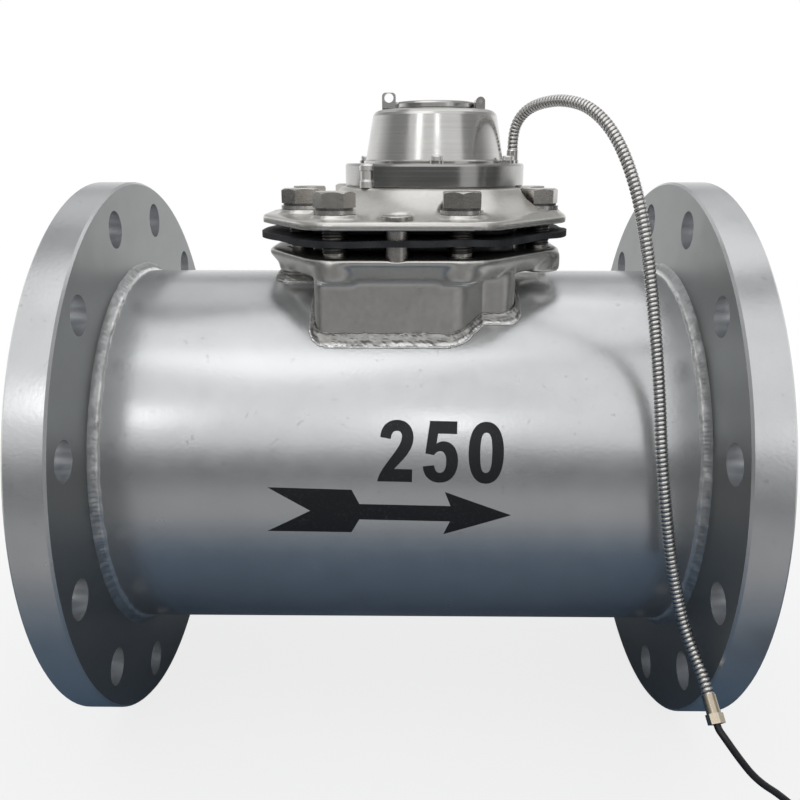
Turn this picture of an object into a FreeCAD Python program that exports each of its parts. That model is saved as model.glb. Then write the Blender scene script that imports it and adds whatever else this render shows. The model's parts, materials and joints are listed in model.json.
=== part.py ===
import FreeCAD, Part
import math
import os

os.makedirs("parts", exist_ok=True)

# Frame: millimetres, origin at the centre of the inlet flange face, +X along the flow, +Z up.
V = FreeCAD.Vector
AXIS_X = V(1, 0, 0)
AXIS_Y = V(0, 1, 0)
AXIS_Z = V(0, 0, 1)

# Pipe body and its flanges, nominal bore 250, pressure class 16
face_to_face = 450.0
pipe_od = 273.0
pipe_wall = 7.0
flange_od = 405.0
flange_thickness = 26.0
bolt_circle = 355.0
flange_hole = 26.0
flange_hole_count = 12
flange_play = 0.3
flange_edge = 1.5
pipe_setback = 8.0
weld_leg = 8.0

# Neck: throat walls, octagonal flange and the seat for the gasket
throat_wall = 6.0
throat_front = 90.0
throat_left = 57.0
throat_right = 40.0
throat_bend = 20.0
valley = 56.0
shoulder_half = 75.0
shoulder_reach = 79.0
arm_half = 28.0
arm_reach = 88.0
neck_bottom = 80.0
neck_inset = 4.0
flare_inset = 13.5
neck_flare = 143.0
neck_rim_low = 154.0
boss_radius = 14.0
boss_low = 141.0
boss_shift = 3.0
neck_rim_top = 158.0
seat_top = 165.5
opening_left = 54.0
opening_right = 72.0
opening_half = 70.0
opening_corner = 14.0
seat_width = 5.5

# Cover, gasket and their fasteners
gasket_thickness = 4.0
cover_low = 175.5
cover_rim_top = 181.5
cover_seat_low = seat_top + gasket_thickness
cone_foot = 104.0
cone_top = 68.0
cone_waist = (80.0, 189.0)
cover_top = 200.0
cover_inside = 178.0
pad_radius = 15.0
pad_top = 185.0
octagon_corner = 32.0
octagon = [(-99, -30), (-58, -107), (58, -107), (119, -30), (119, 30), (58, 107), (-58, 107), (-99, 30)]
bolt_places = [(-42, -86), (40, -86), (-71, -27), (98, -27), (-71, 27), (98, 27), (-42, 86), (40, 86)]
bolt_radius = 7.9
bolt_hole = 8.75
bolt_tap = 8.0
bolt_end = 147.0
head_flats = 24.0
head_height = 10.0
washer_radius = 14.0
flat_washer = 2.4
spring_washer = 1.7
spring_radius = 12.4
dowel_place = (-1.5, -94.0)
dowel_radius = 8.0
dowel_foot = 155.0
dowel_head = 10.5

# Drive: the register axis, and the vertical spindle beside the rotor axis
register_x = 24.5
gear_module = 1.0
wheel_teeth = 16
worm_pitch_radius = 5.0
spindle_y = worm_pitch_radius + gear_module * wheel_teeth / 2
spindle_radius = 2.5
running = 0.04

# Measuring element in the bore
chamber_od = 132.0
chamber_id = 126.0
chamber_start = -50.0
chamber_end = 62.0
rotor_start = -22.0
rotor_end = 9.0
rotor_hub = 20.0
rotor_tip = 61.8
blade_count = 8
blade_pitch = 400.0
blade_thickness = 3.0
journal_radius = 3.0
worm_start = 18.0
worm_end = 31.0
case_radius = 24.0
case_y = 5.0
case_start = 11.0
case_end = 38.0
case_wall = 3.5
column_radius = 11.0
column_flange = 30.0
magnet_radius = 15.0

# Register head
collar_radius = 65.0
collar_inside = 50.0
collar_top = 216.0
dome_base = 50.0
dome_shoulder = 45.0
dome_top = 252.5
dome_wall = 4.0
window_radius = 25.5
can_radius = 40.0
can_wall = 1.5
can_low = 200.3
can_top = 241.0
plate_low = 211.0
dial_low = 233.0
dial_thickness = 1.5
pinion_teeth = 8
gear_teeth = 80
clock_module = 0.4
arbor_radius = 1.0
gear_step = clock_module * (pinion_teeth + gear_teeth) / 2
lid_radius = 28.6
lid_low = 253.0
lid_top = 258.0
hinge_x = register_x + 31.9
hinge_z = 258.0
knuckle_radius = 3.2
pin_radius = 1.5
hasp_x = -8.6
hasp_width = 9.8
hasp_thickness = 3.0
hasp_top = 264.5
hasp_hole = 3.3
hasp_hole_z = 261.0

# Pulse lead: armoured conduit, ferrule, cable and its coil
nipple_x = 81.5
nipple_top = 225.5
conduit_diameter = 8.0
cable_diameter = 5.0
lead_radius = 1.8
lead_level = 208.0
floor_level = -flange_od / 2
conduit_route = [
    (81.5, 0, 225.5), (81.5, 0, 236), (84.1, -4, 246), (89.8, -13.1, 253), (98.2, -26.1, 256.5),
    (110, -44.7, 257), (123.5, -65.8, 251), (135.8, -85.1, 234), (145.8, -100.7, 206),
    (152.5, -111.3, 173), (157.6, -119.3, 135), (160.8, -127, 103.7), (163.3, -134.7, 71.6),
    (164.1, -143.5, 43.6), (168.1, -151, 6.4), (174, -155, -30.4), (180.6, -162.5, -61.7),
    (186.5, -172.5, -79.9), (190.5, -181.5, -90.4), (192.1, -190, -98.8),
]
ferrule_length = 17.0
nut_length = 6.0
cable_start = 11.0
cable_route = [
    (200.9, -215.9, -128.5), (210.5, -218.3, -141.1), (227.4, -218, -154.2), (258, -217, -180),
    (276, -216.5, -192.5), (295, -216, -198.8), (311, -215.8, -198.8),
]
coil_centre = (309.0, -248.3)
coil_inner = 20.0
coil_outer = 35.0
coil_low = floor_level + 1.2
coil_height = 10.2
coil_tail = 36.0
core_length = 12.0
core_radius = 0.8

mid = face_to_face / 2


def at(x, y, z):
    return V(mid + x, y, z)


def cyl(radius, height, x, y, z, direction=AXIS_Z):
    return Part.makeCylinder(radius, height, at(x, y, z), direction)


def fuse(shapes):
    return shapes[0].multiFuse(shapes[1:]).removeSplitter()


def group(shapes):
    return Part.makeCompound(shapes)


def grown(points, d):
    # the polygon with every side moved outwards by d, corners listed anticlockwise
    out = []
    count = len(points)
    for i in range(count):
        a, b, c = points[i - 1], points[i], points[(i + 1) % count]
        lines = []
        for p, q in ((a, b), (b, c)):
            dx, dy = q[0] - p[0], q[1] - p[1]
            size = math.hypot(dx, dy)
            normal = (dy / size, -dx / size)
            lines.append((normal, normal[0] * p[0] + normal[1] * p[1] + d))
        (n1, k1), (n2, k2) = lines
        det = n1[0] * n2[1] - n1[1] * n2[0]
        out.append(((k1 * n2[1] - k2 * n1[1]) / det, (n1[0] * k2 - n2[0] * k1) / det))
    return out


def rounded(points, radii, z):
    # a closed wire of straight sides and tangent corner arcs
    edges = []
    ends = []
    count = len(points)
    for i in range(count):
        p = at(points[i][0], points[i][1], z)
        before = at(points[i - 1][0], points[i - 1][1], z) - p
        after = at(points[(i + 1) % count][0], points[(i + 1) % count][1], z) - p
        before.normalize()
        after.normalize()
        half = before.getAngle(after) / 2
        cut = radii[i] / math.tan(half)
        bisector = before + after
        bisector.normalize()
        centre = p + bisector * (radii[i] / math.sin(half))
        ends.append((p + before * cut, centre - bisector * radii[i], p + after * cut))
    for i in range(count):
        start, middle, stop = ends[i]
        edges.append(Part.Arc(start, middle, stop).toShape())
        edges.append(Part.LineSegment(stop, ends[(i + 1) % count][0]).toShape())
    return Part.Wire(edges)


def prism(points, radii, low, high):
    return Part.Face(rounded(points, radii, low)).extrude(V(0, 0, high - low))


def octagon_prism(d, low, high):
    return prism(grown(octagon, d), [octagon_corner + d] * len(octagon), low, high)


def turned(profile, centre, direction, across):
    # a solid of revolution: profile pairs are (along the axis, away from it)
    points = [centre + direction * a + across * r for a, r in profile]
    return Part.Face(Part.makePolygon(points + points[:1])).revolve(centre, direction, 360)


def throat_points(d):
    corners = [
        (-throat_left, -throat_front), (throat_right, -throat_front), (valley, -shoulder_half),
        (shoulder_reach, -shoulder_half), (shoulder_reach, shoulder_half), (valley, shoulder_half),
        (throat_right, throat_front), (-throat_left, throat_front), (-throat_left, arm_half),
        (-arm_reach, arm_half), (-arm_reach, -arm_half), (-throat_left, -arm_half),
    ]
    return grown(corners, d)


def throat_prism(d, low, high):
    tight, wide, groove, inner = max(8.0 + d, 3.0), 11.0, 2.5, max(7.0 - d, 1.0)
    bend = throat_bend + d
    radii = [tight, bend, groove, wide, wide, groove, bend, tight, inner, tight, tight, inner]
    return prism(throat_points(d), radii, low, high)


def opening_prism(d, low, high):
    corners = [(-opening_left, -opening_half), (opening_right, -opening_half),
               (opening_right, opening_half), (-opening_left, opening_half)]
    return prism(grown(corners, d), [opening_corner + d] * 4, low, high)


def drilled(shape, radius, low, high, places):
    return shape.cut(group([cyl(radius, high - low, x, y, low) for x, y in places]))


pipe_radius = pipe_od / 2
pipe_core = Part.makeCylinder(pipe_radius, face_to_face + 20, V(-10, 0, 0), AXIS_X)


def body_pipe():
    tube_length = face_to_face - 2 * pipe_setback
    start = V(pipe_setback, 0, 0)
    tube = Part.makeCylinder(pipe_radius, tube_length, start, AXIS_X)
    bore = Part.makeCylinder(pipe_radius - pipe_wall, tube_length, start, AXIS_X)
    return tube.cut(bore).cut(throat_prism(-throat_wall, neck_bottom, neck_rim_top))


def flange(face_x, inward):
    direction = V(inward, 0, 0)
    inner = pipe_radius + flange_play
    outer = flange_od / 2
    e = flange_edge
    profile = [(0, inner), (0, outer - e), (e, outer), (flange_thickness - e, outer),
               (flange_thickness, outer - e), (flange_thickness, inner)]
    plate = turned(profile, V(face_x, 0, 0), direction, AXIS_Z)
    drills = []
    for i in range(flange_hole_count):
        angle = math.radians((i + 0.5) * 360 / flange_hole_count)
        place = V(face_x, bolt_circle / 2 * math.sin(angle), bolt_circle / 2 * math.cos(angle))
        drills.append(Part.makeCylinder(flange_hole / 2, flange_thickness, place, direction))
    return plate.cut(group(drills))


def flange_weld(face_x, inward):
    # an outer fillet behind the flange and a seal bead inside it, at the end of the pipe
    direction = V(inward, 0, 0)
    centre = V(face_x, 0, 0)
    back = flange_thickness
    bulge = 0.62 * weld_leg
    near, far = 0.3 * weld_leg, 0.9 * weld_leg
    outer = [(back, pipe_radius), (back, pipe_radius + weld_leg), (back + near, pipe_radius + far),
             (back + bulge, pipe_radius + bulge), (back + far, pipe_radius + near),
             (back + weld_leg, pipe_radius)]
    end = pipe_setback
    leg = pipe_setback - 1.5
    inner = [(end, pipe_radius - leg), (end, pipe_radius + flange_play),
             (end - leg, pipe_radius + flange_play), (end - 0.6 * leg, pipe_radius - 0.6 * leg)]
    return group([turned(outer, centre, direction, AXIS_Z), turned(inner, centre, direction, AXIS_Z)])


def neck_housing():
    walls = throat_prism(0, neck_bottom, neck_rim_low)
    walls = walls.cut(throat_prism(-throat_wall, neck_bottom, neck_rim_low))
    rim = octagon_prism(-neck_inset, neck_rim_low, neck_rim_top)
    rim = rim.makeFillet(2.0, [e for e in rim.Edges if e.BoundBox.ZMin > neck_rim_top - 0.1])
    sides = len(octagon)
    foot = rounded(grown(octagon, -flare_inset), [octagon_corner - flare_inset] * sides, neck_flare)
    head = rounded(grown(octagon, -neck_inset), [octagon_corner - neck_inset] * sides, neck_rim_low)
    flare = Part.makeLoft([foot, head], True, True)
    bosses = []
    for x, y in bolt_places:
        lengthwise = abs(x) > abs(y)
        out_x = math.copysign(boss_shift, x) if lengthwise else 0
        out_y = 0 if lengthwise else math.copysign(boss_shift, y)
        boss = cyl(boss_radius, neck_rim_low - boss_low, x + out_x, y + out_y, boss_low)
        bosses.append(boss.makeFillet(3.0, [e for e in boss.Edges if e.BoundBox.ZMax < boss_low + 0.1]))
    seat = opening_prism(seat_width, neck_rim_top, seat_top)
    solid = fuse([walls, flare, rim, seat] + bosses)
    solid = solid.cut(opening_prism(0, neck_bottom, seat_top)).cut(pipe_core)
    solid = drilled(solid, bolt_tap, bolt_end - 1, neck_rim_top + 1, bolt_places)
    return drilled(solid, dowel_radius, dowel_foot, neck_rim_top + 1, [dowel_place])


def neck_weld():
    steps = []
    for reach, rise in ((5.4, 2.0), (4.2, 3.8), (2.4, 5.4)):
        skin = Part.makeCylinder(pipe_radius + rise, face_to_face, V(0, 0, 0), AXIS_X)
        steps.append(throat_prism(reach, neck_bottom, neck_flare).common(skin))
    return fuse(steps).cut(throat_prism(0, neck_bottom, neck_flare)).cut(pipe_core)


def cover_gasket():
    sheet = octagon_prism(1.0, seat_top, cover_seat_low).cut(opening_prism(0, seat_top, cover_seat_low))
    sheet = drilled(sheet, bolt_hole, seat_top, cover_seat_low, bolt_places)
    return drilled(sheet, dowel_radius + 0.3, seat_top, cover_seat_low, [dowel_place])


def cover_cone(low):
    # flared shoulder from the rim up to the seat of the collar
    foot, top = at(register_x + cone_foot, 0, low), at(register_x + cone_top, 0, cover_top)
    base, crown = at(register_x, 0, low), at(register_x, 0, cover_top)
    flare = Part.Arc(foot, at(register_x + cone_waist[0], 0, cone_waist[1]), top)
    edges = [flare.toShape()]
    for start, stop in ((top, crown), (crown, base), (base, foot)):
        edges.append(Part.LineSegment(start, stop).toShape())
    return Part.Face(Part.Wire(edges)).revolve(base, AXIS_Z, 360)


def cover_plate():
    rim = octagon_prism(0, cover_low, cover_rim_top)
    rim = rim.makeFillet(2.6, [e for e in rim.Edges if e.BoundBox.ZMin > cover_rim_top - 0.1])
    cone_low = cover_rim_top - 0.5
    cone = cover_cone(cone_low).common(octagon_prism(-3.4, cone_low, cover_top))
    pads = [cyl(pad_radius, pad_top - cover_low - 1, x, y, cover_low + 1) for x, y in bolt_places]
    seat = opening_prism(seat_width, cover_seat_low, cover_low)
    solid = fuse([rim, cone, seat] + pads)
    solid = drilled(solid, pad_radius + 0.5, pad_top, cover_top + 1, bolt_places)
    solid = drilled(solid, dowel_head + 0.4, cover_rim_top, cover_top + 1, [dowel_place])
    solid = drilled(solid, dowel_radius + 0.1, cover_seat_low, cover_rim_top + 1, [dowel_place])
    solid = drilled(solid, bolt_hole, cover_seat_low, pad_top + 1, bolt_places)
    solid = solid.cut(opening_prism(0, cover_seat_low, cover_inside))
    boss = cyl(column_flange + 2.0, 20, register_x, spindle_y, cover_inside)
    relief = Part.makeCone(62.0, 46.0, 15.0, at(register_x - 9, 0, cover_inside))
    relief = relief.common(opening_prism(0, cover_inside, cover_top)).cut(boss)
    magnet_room = cyl(magnet_radius + 3.0, 18.0, register_x, spindle_y, cover_inside)
    return solid.cut(relief).cut(magnet_room)


def hexagon(flats, height, x, y, z, turn):
    corners = []
    reach = flats / math.sqrt(3)
    for i in range(6):
        angle = math.radians(60 * i + turn)
        corners.append(at(x + reach * math.cos(angle), y + reach * math.sin(angle), z))
    prism_head = Part.Face(Part.makePolygon(corners + corners[:1])).extrude(V(0, 0, height))
    chamfer_top = flats / 2 - 0.3
    chamfer = Part.makeCone(chamfer_top + height * math.sqrt(3), chamfer_top, height, at(x, y, z))
    return prism_head.common(chamfer)


head_low = pad_top + flat_washer + spring_washer


def cover_bolts():
    bolts = []
    turns = (0, 30, 20, 8, 40, 22, 5, 50)
    for (x, y), turn in zip(bolt_places, turns):
        shank = cyl(bolt_radius, head_low - bolt_end, x, y, bolt_end)
        bolts.append(fuse([shank, hexagon(head_flats, head_height, x, y, head_low, turn)]))
    return group(bolts)


def flat_washers():
    rings = []
    for x, y in bolt_places:
        hole = cyl(bolt_hole, flat_washer, x, y, pad_top)
        rings.append(cyl(washer_radius, flat_washer, x, y, pad_top).cut(hole))
    return group(rings)


def spring_washers():
    rings = []
    low = pad_top + flat_washer
    for x, y in bolt_places:
        hole = cyl(bolt_radius + 0.3, spring_washer, x, y, low)
        ring = cyl(spring_radius, spring_washer, x, y, low).cut(hole)
        split = Part.makeBox(8, 1.6, spring_washer, at(x + 6, y - 0.8, low))
        split.rotate(at(x, y, low), AXIS_Z, 130)
        rings.append(ring.cut(split))
    return group(rings)


def locating_dowel():
    x, y = dowel_place
    shank = cyl(dowel_radius - 0.05, cover_rim_top - dowel_foot, x, y, dowel_foot)
    head = cyl(dowel_head, 3.0, x, y, cover_rim_top)
    head = head.makeFillet(1.0, [e for e in head.Edges if e.BoundBox.ZMin > cover_rim_top + 2.9])
    return fuse([shank, head]).cut(Part.makeCone(0.6, 2.4, 1.2, at(x, y, cover_rim_top + 1.8)))


def measuring_chamber():
    length = chamber_end - chamber_start
    tube = cyl(chamber_od / 2, length, chamber_start, 0, 0, AXIS_X)
    tube = tube.cut(cyl(chamber_id / 2, length, chamber_start, 0, 0, AXIS_X))
    return tube.cut(cyl(column_radius + 0.1, 90, register_x, spindle_y, 0))


def vane_set(count, phase, start, stop, inner, outer, thickness):
    vanes = []
    for i in range(count):
        vane = Part.makeBox(stop - start, thickness, outer - inner, at(start, -thickness / 2, inner))
        vane.rotate(V(0, 0, 0), AXIS_X, phase + i * 360 / count)
        vanes.append(vane)
    return vanes


vane_reach = chamber_id / 2 - 0.15
hub_end = rotor_start - 2.5
bush_length = 8.0
bush_radius = 6.0
jewel_radius = 4.0
jewel_length = 3.0
front_bush_start = hub_end - 9.0
rear_bush_start = case_end - 3.0


def inlet_guide():
    tip = chamber_start + 2
    nose = [(tip, 0), (tip + 1.5, 7), (tip + 5, 12.5), (tip + 10, 17), (tip + 15, 19.2),
            (hub_end, rotor_hub), (hub_end, 0)]
    hub = turned(nose, at(0, 0, 0), AXIS_X, AXIS_Z)
    vanes = vane_set(6, 30, chamber_start + 10, hub_end, 15.0, vane_reach, 2.5)
    solid = fuse([hub] + vanes)
    solid = solid.cut(cyl(bush_radius + 0.05, hub_end - front_bush_start, front_bush_start, 0, 0, AXIS_X))
    return solid.cut(cyl(jewel_radius + 0.05, 3.5, front_bush_start - 3.5, 0, 0, AXIS_X))


def rotor_bushes():
    bushes = []
    for x in (front_bush_start, rear_bush_start):
        hole = cyl(journal_radius + running, bush_length, x, 0, 0, AXIS_X)
        bushes.append(cyl(bush_radius, bush_length, x, 0, 0, AXIS_X).cut(hole))
    return group(bushes)


def thrust_jewels():
    starts = (front_bush_start - jewel_length - 0.4, rear_bush_start + bush_length + 0.4)
    return group([cyl(jewel_radius, jewel_length, x, 0, 0, AXIS_X) for x in starts])


def turbine_rotor():
    hub = cyl(rotor_hub, rotor_end - rotor_start, rotor_start, 0, 0, AXIS_X)
    hub = hub.makeFillet(2.0, [e for e in hub.Edges if e.Curve.TypeId == "Part::GeomCircle"])
    blades = []
    stations = 5
    for b in range(blade_count):
        sections = []
        for s in range(stations):
            x = rotor_start + 1.5 + (rotor_end - rotor_start - 3.0) * s / (stations - 1)
            turn = 360.0 * b / blade_count + 360.0 * x / blade_pitch
            root, tip, t = rotor_hub - 2.0, rotor_tip, blade_thickness / 2
            corners = [at(x, -t, root), at(x, t, root), at(x, 0.7 * t, tip), at(x, -0.7 * t, tip)]
            wire = Part.makePolygon(corners + corners[:1])
            wire.rotate(V(0, 0, 0), AXIS_X, turn)
            sections.append(wire)
        blades.append(Part.makeLoft(sections, True, False))
    bore = cyl(4.0, rotor_end - rotor_start, rotor_start, 0, 0, AXIS_X)
    return fuse([hub] + blades).cut(bore)


worm_pitch = math.pi * gear_module
worm_root = 3.4
worm_crest = worm_pitch_radius + 0.85


def rotor_shaft():
    front = front_bush_start - 0.2
    rear = rear_bush_start + bush_length + 0.2
    steps = [(front, 0), (front, journal_radius), (rotor_start - 1.0, journal_radius), (rotor_start, 4.0),
             (rotor_end, 4.0), (rotor_end, worm_root), (worm_end + 1, worm_root),
             (worm_end + 1, journal_radius), (rear, journal_radius), (rear, 0)]
    shaft = turned(steps, at(0, 0, 0), AXIS_X, AXIS_Z)
    foot = worm_root - 0.2
    helix = Part.makeHelix(worm_pitch, worm_end - worm_start, foot)
    half_foot, half_crest = 0.92, 0.42
    profile = [V(foot, 0, -half_foot), V(worm_crest, 0, -half_crest),
               V(worm_crest, 0, half_crest), V(foot, 0, half_foot)]
    section = Part.makePolygon(profile + profile[:1])
    thread = Part.Wire(helix.Edges).makePipeShell([section], True, True)
    thread.rotate(V(0, 0, 0), AXIS_Y, 90)
    thread.translate(at(worm_start, 0, 0))
    return fuse([shaft, thread])


def tooth_wire(teeth, module, addendum, phase, x, y, z):
    # straight-flanked teeth with generous backlash
    root = module * (teeth / 2 - 1.15)
    tip = module * (teeth / 2 + addendum)
    step = 360.0 / teeth
    points = []
    for i in range(teeth):
        for radius, share in ((root, -0.21), (tip, -0.1), (tip, 0.1), (root, 0.21)):
            angle = math.radians(phase + (i + share) * step)
            points.append(at(x + radius * math.cos(angle), y + radius * math.sin(angle), z))
    return Part.makePolygon(points + points[:1])


def spur(teeth, module, addendum, phase, x, y, low, width):
    return Part.Face(tooth_wire(teeth, module, addendum, phase, x, y, low)).extrude(V(0, 0, width))


def worm_wheel():
    # teeth lean with the worm's thread, and a gap between two of them faces a thread crest
    radius = gear_module * wheel_teeth / 2
    crest = worm_start + worm_pitch * 0.25
    crest += worm_pitch * round((register_x - crest) / worm_pitch)
    gap = -90.0 + math.degrees((crest - register_x) / radius)
    phase = gap - 180.0 / wheel_teeth
    half_width = 3.0
    lean = math.degrees(half_width * worm_pitch / (2 * math.pi * worm_pitch_radius) / radius)
    low = tooth_wire(wheel_teeth, gear_module, 0.7, phase - lean, register_x, spindle_y, -half_width)
    high = tooth_wire(wheel_teeth, gear_module, 0.7, phase + lean, register_x, spindle_y, half_width)
    rim = Part.makeLoft([low, high], True, True)
    hub = cyl(4.5, 9.0, register_x, spindle_y, 0)
    return fuse([rim, hub]).cut(cyl(spindle_radius, 20, register_x, spindle_y, -5))


lower_pivot = -14.0
upper_bush = 158.0
spindle_bush = 5.0
magnet_low = 184.0
magnet_height = 8.0


def drive_spindle():
    return cyl(spindle_radius, magnet_low + magnet_height - lower_pivot, register_x, spindle_y, lower_pivot)


def drive_magnet():
    ring = cyl(magnet_radius, magnet_height, register_x, spindle_y, magnet_low)
    ring = ring.makeFillet(1.0, [e for e in ring.Edges if e.Curve.TypeId == "Part::GeomCircle"])
    return ring.cut(cyl(spindle_radius, magnet_height, register_x, spindle_y, magnet_low))


def spindle_bushes():
    bushes = []
    for z in (lower_pivot + 1.0, upper_bush):
        hole = cyl(spindle_radius + running, bush_length, register_x, spindle_y, z)
        bushes.append(cyl(spindle_bush, bush_length, register_x, spindle_y, z).cut(hole))
    return group(bushes)


def outlet_guide():
    # gear case with four vanes; it is open at the rear, where the outlet cone closes it
    case = cyl(case_radius, case_end - case_start, case_start, case_y, 0, AXIS_X)
    case = case.makeFillet(2.5, [e for e in case.Edges if e.BoundBox.XMax < mid + case_start + 0.1])
    vanes = vane_set(4, 45, case_start + 5, case_end - 1, 17.0, vane_reach, 3.0)
    solid = fuse([case] + vanes)
    inside = case_start + case_wall
    cavity = cyl(case_radius - case_wall, case_end - inside, inside, case_y, 0, AXIS_X)
    solid = solid.cut(cavity).cut(cyl(5.0, 10, case_start - 2, 0, 0, AXIS_X))
    pedestal = cyl(7.0, 14.0, register_x, spindle_y, -20.0)
    pedestal = pedestal.cut(cyl(spindle_bush + 0.02, 10.0, register_x, spindle_y, lower_pivot + 1.0))
    pedestal = pedestal.cut(cyl(3.0, 2, register_x, spindle_y, lower_pivot - 0.5))
    solid = fuse([solid, pedestal])
    return solid.cut(cyl(column_radius, 30, register_x, spindle_y, 17.0))


def outlet_cone():
    # tail of the gear case, which carries the rear bush
    low, r = case_end, case_radius
    tail = [(low, 0), (low, r), (low + 6, r - 1.5), (low + 14, r - 8), (low + 20, r - 15),
            (low + 22, r - 20), (low + 22, 0)]
    body = turned(tail, at(0, case_y, 0), AXIS_X, AXIS_Z)
    plug = cyl(9.0, 3.0, rear_bush_start, 0, 0, AXIS_X)
    pocket = cyl(bush_radius + 0.05, bush_length + 4.0, rear_bush_start, 0, 0, AXIS_X)
    return fuse([body, plug]).cut(pocket)


def element_column():
    # hollow column that hangs the measuring element from the cover and holds the spindle
    flange_low = cover_inside - 6.0
    bush_fit = spindle_bush + 0.02
    bush_top = upper_bush + bush_length
    bush_foot = upper_bush - 2.0
    profile = [(17.0, 6.0), (17.0, column_radius), (flange_low - 14, column_radius), (flange_low - 4, 16.0),
               (flange_low, 20.0), (flange_low, column_flange), (cover_inside, column_flange),
               (cover_inside, 9.0), (cover_inside - 4, 9.0), (cover_inside - 4, 3.5), (bush_top, 3.5),
               (bush_top, bush_fit), (bush_foot, bush_fit), (bush_foot, 6.0)]
    body = turned(profile, at(register_x, spindle_y, 0), AXIS_Z, AXIS_X)
    return drilled(body, 3.3, flange_low, cover_inside, column_screw_places())


def column_screw_places():
    spots = []
    for i in range(4):
        angle = math.radians(45 + 90 * i)
        spots.append((register_x + 25 * math.cos(angle), spindle_y + 25 * math.sin(angle)))
    return spots


def column_screws():
    screws = []
    for x, y in column_screw_places():
        low = cover_inside - 11.2
        head = cyl(5.0, 5.0, x, y, low).cut(hexagon(5.0, 3.0, x, y, low, 0))
        screws.append(fuse([head, cyl(3.0, 6.2, x, y, low + 5.0)]))
    return group(screws)


seal_angle = math.radians(-136.5)
seal_x = register_x + collar_radius * math.cos(seal_angle)
seal_y = collar_radius * math.sin(seal_angle)
seal_radius = 5.3
screw_circle = 56.5
dome_screw_angles = (-90, -25, 90, 155)


def dome_screw_places():
    spots = []
    for angle in dome_screw_angles:
        a = math.radians(angle)
        spots.append((register_x + screw_circle * math.cos(a), screw_circle * math.sin(a)))
    return spots


def register_collar():
    c = collar_radius
    profile = [(cover_top, collar_inside), (cover_top, c - 1.2), (cover_top + 1.2, c),
               (collar_top - 1.8, c), (collar_top - 0.5, c - 0.5), (collar_top, c - 1.8),
               (collar_top, collar_inside)]
    ring = turned(profile, at(register_x, 0, 0), AXIS_Z, AXIS_X)
    ring = ring.cut(cyl(seal_radius, 20, seal_x, seal_y, cover_top - 1))
    ring = ring.cut(cyl(lead_radius + 0.7, 10.0, nipple_x, 0, lead_level - 1.5))
    return ring.cut(cyl(lead_radius + 0.7, 10.0, nipple_x - 10, 0, lead_level, AXIS_X))


def seal_screw():
    # post with a spread foot and a domed cap, let into the side of the collar
    foot, waist, cap = seal_radius - 0.2, seal_radius - 0.8, seal_radius - 0.1
    profile = [(cover_top, 0), (cover_top, foot), (cover_top + 4.0, foot), (cover_top + 5.5, waist),
               (cover_top + 11.0, waist), (cover_top + 11.6, cap), (cover_top + 14.5, cap),
               (cover_top + 16.0, cap - 1.4), (cover_top + 16.8, 0)]
    return turned(profile, at(seal_x, seal_y, 0), AXIS_Z, AXIS_X)


def register_dome():
    shoulder = 6.0
    low = collar_top
    side = [(low, dome_base - dome_wall), (low, dome_base + 1.5), (low + 1.5, dome_base + 1.5),
            (low + 2.5, dome_base), (dome_top - shoulder, dome_shoulder)]
    for i in range(1, 6):
        a = math.radians(18 * i)
        side.append((dome_top - shoulder * (1 - math.sin(a)), dome_shoulder - shoulder * (1 - math.cos(a))))
    side += [(dome_top, window_radius), (dome_top - dome_wall, window_radius),
             (dome_top - dome_wall, dome_shoulder - dome_wall - 1)]
    shell = turned(side, at(register_x, 0, 0), AXIS_Z, AXIS_X)
    ears = []
    for (x, y), angle in zip(dome_screw_places(), dome_screw_angles):
        web = Part.makeBox(8.0, 10.0, 2.0, at(register_x + screw_circle - 8.0, -5.0, low))
        web.rotate(at(register_x, 0, low), AXIS_Z, angle)
        ears += [cyl(5.0, 2.0, x, y, low), web]
    shell = fuse([shell] + ears).cut(cyl(collar_inside - 4.2, 10, register_x, 0, low))
    return drilled(shell, 2.2, low, low + 2.0, dome_screw_places())


def dome_screws():
    screws = []
    for x, y in dome_screw_places():
        head = cyl(3.9, 3.2, x, y, collar_top + 2.0)
        head = head.makeFillet(1.0, [e for e in head.Edges if e.BoundBox.ZMin > collar_top + 5.1])
        slot = Part.makeBox(8, 1.0, 1.2, at(x - 4, y - 0.5, collar_top + 4.2))
        screws.append(fuse([head, cyl(2.0, 2.2, x, y, collar_top)]).cut(slot))
    return group(screws)


def register_can():
    r, w = can_radius, can_wall
    floor = can_low + 2
    profile = [(can_low, 0), (can_low, r), (can_top, r), (can_top, r - w), (floor, r - w), (floor, 0)]
    return turned(profile, at(register_x, 0, 0), AXIS_Z, AXIS_X)


# Arbors of the register train, from the magnet's arbor on
arbor_headings = (-15.2, -113.1, -166.8)
arbors = [(register_x, spindle_y)]
for heading in arbor_headings:
    turn = math.radians(heading)
    arbors.append((arbors[-1][0] + gear_step * math.cos(turn), arbors[-1][1] + gear_step * math.sin(turn)))
plate_radius = can_radius - can_wall - 0.1
plate_thickness = 1.5
pillar_angles = (60, 180, 300)


def pillar_places():
    turns = [math.radians(a) for a in pillar_angles]
    return [(register_x + 35 * math.cos(a), 35 * math.sin(a)) for a in turns]


def movement_plate():
    disc = cyl(plate_radius, plate_thickness, register_x, 0, plate_low)
    return drilled(disc, arbor_radius + running, plate_low, plate_low + plate_thickness, arbors)


def dial_plate():
    disc = cyl(plate_radius, dial_thickness, register_x, 0, dial_low)
    return drilled(disc, arbor_radius + running, dial_low, dial_low + dial_thickness, arbors)


def movement_pillars():
    high = dial_low - plate_low - plate_thickness
    return group([cyl(2.0, high, x, y, plate_low + plate_thickness) for x, y in pillar_places()])


def arbor(i, low):
    x, y = arbors[i]
    return cyl(arbor_radius, dial_low + dial_thickness + 2.5 - low, x, y, low)


gear_level = {1: 215.0, 2: 220.0, 3: 225.0}


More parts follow.
